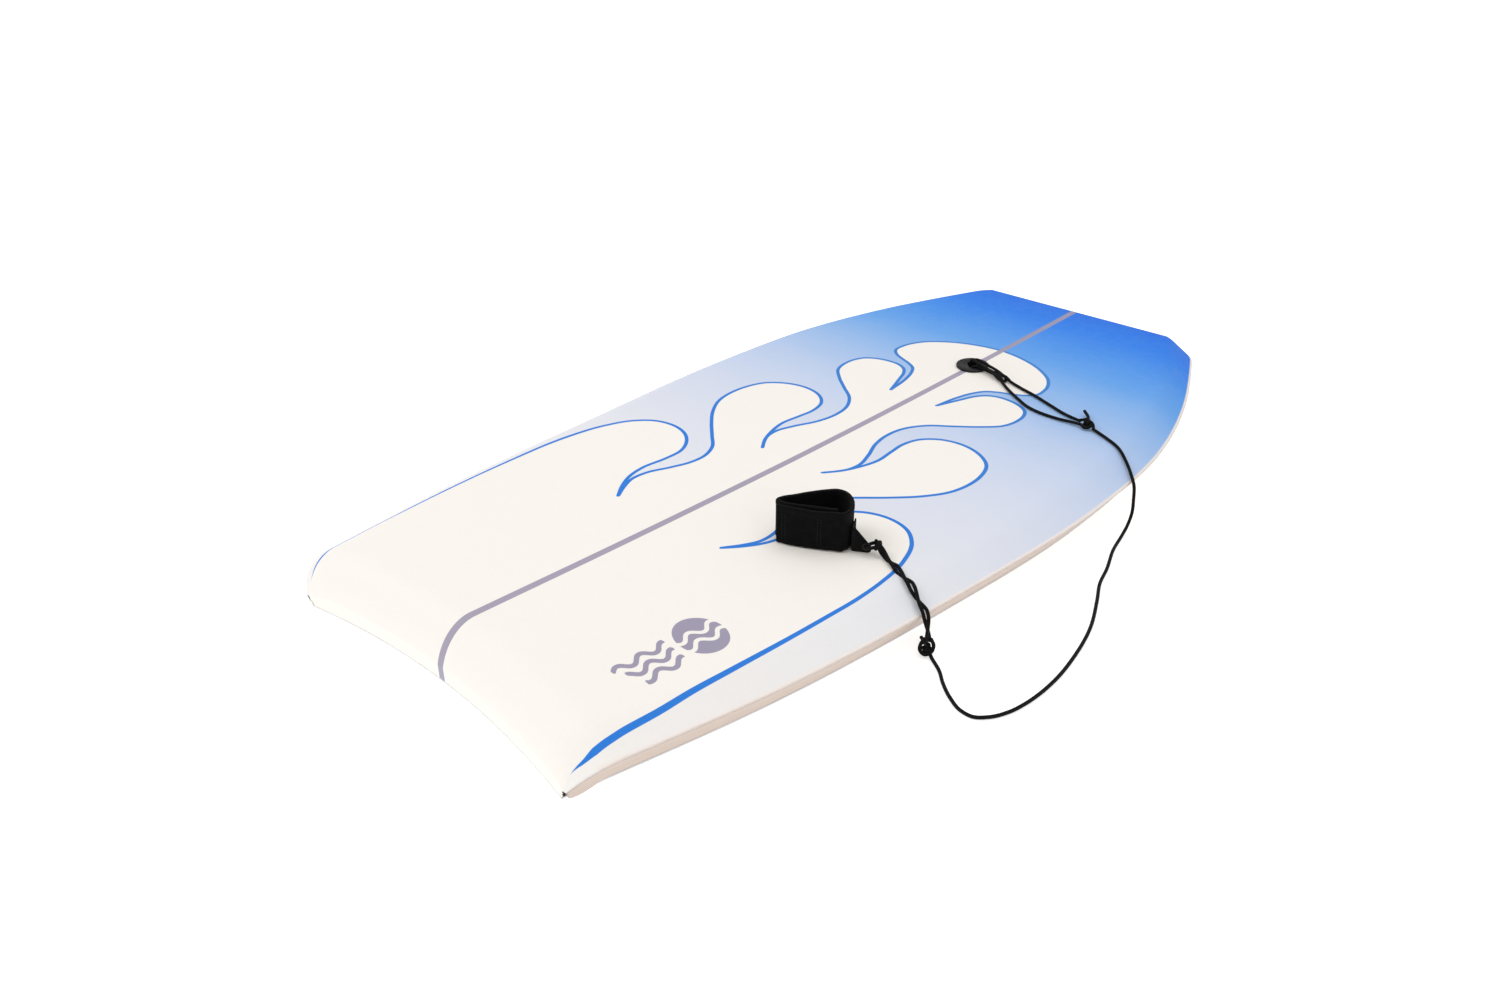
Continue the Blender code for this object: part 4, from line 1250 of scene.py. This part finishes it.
def strap(route, thickness, low, high, bound=True, sway=0.0):
    """Upright strap along a plan route. U is metres along it and V is height."""
    flat = spaced([(*p, 0.0) for p in route], STRAP_STEP)
    section = strap_section(thickness, low, high, bound)
    reach = travelled(flat)
    ways = headings(flat)
    ends = [(-0.45, 0.35), (-0.30, 0.75), (-0.10, 0.95)]
    stops = [(0, thickness * shift, size) for shift, size in ends]
    stops += [(k, 0.0, 1.0) for k in range(len(flat))]
    stops += [(len(flat) - 1, -thickness * shift, size) for shift, size in reversed(ends)]
    around = [(width, z) for width, z in section] + [(-width, z) for width, z in reversed(section)]
    rings = []
    for k, shift, size in stops:
        left = np.array((-ways[k][1], ways[k][0], 0))
        ring = []
        for width, z in around:
            rise, puff = swayed(sway, reach[k] / reach[-1], z)
            point = flat[k] + ways[k] * shift + left * (width * size + puff)
            ring.append((point[0], point[1], z + rise))
        rings.append(ring)
    us = [reach[k] + shift for k, shift, size in stops]
    heights = [z for width, z in around]
    count = len(around)
    caps, cap_uvs = [], []
    for base, u in ((0, us[0]), ((len(rings) - 1) * count, us[-1])):
        for j in range(count // 2 - 1):
            caps.append((base + j, base + j + 1, base + count - 2 - j, base + count - 1 - j))
            cap_uvs += [(u, heights[j]), (u, heights[j + 1]), (u + CAP_U, heights[j + 1]),
                        (u + CAP_U, heights[j])]
    return skin(rings, us, heights + heights[:1], caps, cap_uvs)


STITCH = 0.0021
STITCH_STEP = 0.0032
STITCH_R = 0.00030
STITCH_SIDES = 6


def stitches(lines):
    """Rows of short stitches. Each line is a list of points with their outward directions."""
    verts, faces = [], []
    marks = [(0.0, 0.2, -0.9), (0.15, 0.9, 0.1), (0.5, 1.0, 0.45), (0.85, 0.9, 0.1), (1.0, 0.2, -0.9)]
    last = (len(marks) - 1) * STITCH_SIDES
    stitch = grid(len(marks), STITCH_SIDES) + [range(STITCH_SIDES), range(last, last + STITCH_SIDES)]
    for line in lines:
        points, outs = np.array([p for p, out in line]), np.array([out for p, out in line])
        reach = travelled(points)
        for k in range(int(reach[-1] / STITCH_STEP)):
            base = len(verts)
            for share, size, rise in marks:
                at = (k + 0.3) * STITCH_STEP + STITCH * share
                out = at_places(reach, outs, at)
                out = out / np.linalg.norm(out)
                way = at_places(reach, points, at + STITCH_R) - at_places(reach, points, at - STITCH_R)
                across = np.cross(out, way / max(np.linalg.norm(way), 1e-9))
                for j in range(STITCH_SIDES):
                    turn = 2 * math.pi * j / STITCH_SIDES
                    verts.append(at_places(reach, points, at)
                                 + out * STITCH_R * (rise + size * math.cos(turn) * 0.8)
                                 + across * STITCH_R * size * math.sin(turn))
            faces += [tuple(base + corner for corner in face) for face in stitch]
    return mesh_from(verts, faces)


def row_beside(route, side, height, sway=0.0, trim=0.003):
    """Stitch line on one face of a strap, at a height."""
    flat = spaced([(*p, 0.0) for p in route], STRAP_STEP)
    reach = travelled(flat)
    found = []
    for point, way, at in zip(flat, headings(flat), reach):
        if trim < at < reach[-1] - trim:
            left = np.array((-way[1], way[0], 0.0))
            rise, puff = swayed(sway, at / reach[-1], height)
            moved = point + left * (side * STRAP / 2 + puff) + np.array((0, 0, height + rise))
            found.append((moved, left * side))
    return found


def make_cuff(jersey, loop_pile, hook_pile, webbing, thread):
    """Neoprene loop with bound edges, its hook-and-loop flap, the sewn patches and the tab."""
    place = cuff_place()

    def stand(name, mesh, paint, slot, *nodes, body="board"):
        mesh.transform(place)
        return add_piece(name, mesh, paint, body=body, replaces=nodes)

    full = (0.0, CUFF_HEIGHT)
    inner = (PATCH_MARGIN, CUFF_HEIGHT - PATCH_MARGIN)
    band = strap(STRAP_ROUTE, STRAP, *full, sway=SWAY)
    stand("cuff_band_neoprene", band, jersey, "neoprene", "cuff_band")
    patch = strap(beside(NEAR_WALL, LOOP_BESIDE)[1:-1], PATCH, *inner, bound=False)
    stand("cuff_loop_pile", patch, loop_pile, "loop_pile", "cuff_loop_patch")

    flap_route = [FLAP_ROOT, FLAP_HINGE] + [tuple(p) for p in beside(NEAR_WALL, FLAP_BESIDE)[1:]]
    flap = strap(flap_route, STRAP, *full, sway=SWAY)
    flap = stand("cuff_flap_neoprene", flap, jersey, "neoprene", "cuff_flap", body=None)
    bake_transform(flap)
    patch = strap(beside(NEAR_WALL, HOOK_BESIDE)[1:-1], PATCH, *inner, bound=False)
    stand("cuff_hook_pile", patch, hook_pile, "hook_pile", "cuff_hook_patch", body="flap")

    low, high = BINDING - 0.0012, CUFF_HEIGHT - BINDING + 0.0012
    band_rows = [row_beside(STRAP_ROUTE, side, z, SWAY) for side in (1, -1) for z in (low, high)]
    stand("cuff_band_stitches", stitches(band_rows), thread, "neoprene")
    flap_rows = [row_beside(flap_route, 1, z, SWAY, 0.010) for z in (low, high)]
    spots = row_beside(flap_route, 1, 0.0, 0.0, 0.0)
    reach = travelled([point for point, facing in spots])
    for back in (0.004, 0.0062, 0.038, 0.0402):
        point, facing = spots[int(np.argmin(np.abs(reach[-1] - back - reach)))]
        flap_rows.append([(point + np.array((0, 0, z)), facing) for z in np.linspace(low, high, 24)])
    stand("cuff_flap_stitches", stitches(flap_rows), thread, "neoprene", body="flap")
    make_tab(place, webbing, thread)


def make_tab(place, webbing, thread):
    """Webbing tab: its root on the band, the folded tongue, and an eye bound with thread."""
    root = strap(TAB_ROOT, WEBBING, 0.0, TAB_ROOT_HEIGHT, bound=False)
    root = add_piece("cuff_tab_root", root, webbing)
    root.data.transform(place)

    start = TAB_ROOT[-1][0] - WEBBING / 4
    corners = [(start, 0.0), (TAB_TIP - 0.0022, 0.0), (TAB_TIP, 0.0022), (TAB_TIP, TAB_TIP_HEIGHT - 0.0032),
               (TAB_TIP - 0.0032, TAB_TIP_HEIGHT), (start + 0.0030, TAB_ROOT_HEIGHT - 0.0012),
               (start, TAB_ROOT_HEIGHT - 0.0004)]
    line = []
    for k, corner in enumerate(corners):
        here = Vector(corner)
        before, after = Vector(corners[k - 1]), Vector(corners[(k + 1) % len(corners)])
        soft = 0.3 if k in (1, 2, 3, 4) else 0.12
        for share in (0.0, 0.25, 0.5, 0.75, 1.0):
            first = here.lerp(before, soft * (1 - share))
            second = here.lerp(after, soft * share)
            line.append(first.lerp(second, share))
    middle = TAB_LINE + WEBBING / 4
    half = WEBBING * 0.75
    rings = []
    centre = Vector((0.0420, 0.0080))
    for shrink, across in ((0.93, -1), (0.985, -0.8), (1.0, -0.35), (1.0, 0.35), (0.985, 0.8), (0.93, 1)):
        shrunk = [centre + (p - centre) * shrink for p in line]
        rings.append([(p.x, middle + half * across, p.y) for p in shrunk])
    tongue = add_piece("cuff_tab_tongue", strip(rings), webbing,
                       replaces=("cuff_tab",))
    tongue.matrix_world = place
    turn = Matrix.Rotation(math.pi / 2, 4, "X")
    eye = disc_prism(TAB_EYE_R + 0.0003, -0.01, 0.01, 40)
    cut(tongue, eye, place @ Matrix.Translation((TAB_EYE[0], TAB_LINE, TAB_EYE[1])) @ turn)
    settle(tongue)
    tongue.data.transform(place)
    tongue.matrix_world = Matrix.Identity(4)

    ring = [(TAB_EYE[0] + (TAB_EYE_R + 0.0004) * math.cos(2 * math.pi * k / 48), middle,
             TAB_EYE[1] + (TAB_EYE_R + 0.0004) * math.sin(2 * math.pi * k / 48)) for k in range(49)]
    rim = tube(ring, half * 1.12, 12)
    rim.transform(place)
    add_piece("cuff_eye_rim", rim, thread)
    face = middle - half
    facing = np.array((0.0, -1.0, 0.0))
    rows = [[(np.array((u, face, z)), facing) for z in np.linspace(0.002, 0.022, 20)]
            for u in (start + 0.0012, start + 0.0028)]
    mesh = stitches(rows)
    mesh.transform(place)
    add_piece("cuff_tab_stitches", mesh, thread)


def dress(node, paint):
    """Gives a carried node a material of its own."""
    mesh = frame["nodes"][node].data
    mesh.materials.clear()
    mesh.materials.append(paint)


def main():
    make_camera()
    make_leash(braid_paint())
    make_studio()
    make_deck(print_paint())
    make_rails(rail_paint())
    make_slick(slick_paint())
    dress("foam_core", core_paint())
    make_plug(plastic_paint())
    black = srgb(5, 4, 5), srgb(12, 11, 11)
    make_cuff(knit_paint("nylon_jersey", *black), knit_paint("loop_pile", *black, 0.0016, 0.0003, 0.6),
              knit_paint("hook_pile", *black, 0.0014, 0.0003, 0.3), weave_paint(), thread_paint())


main()
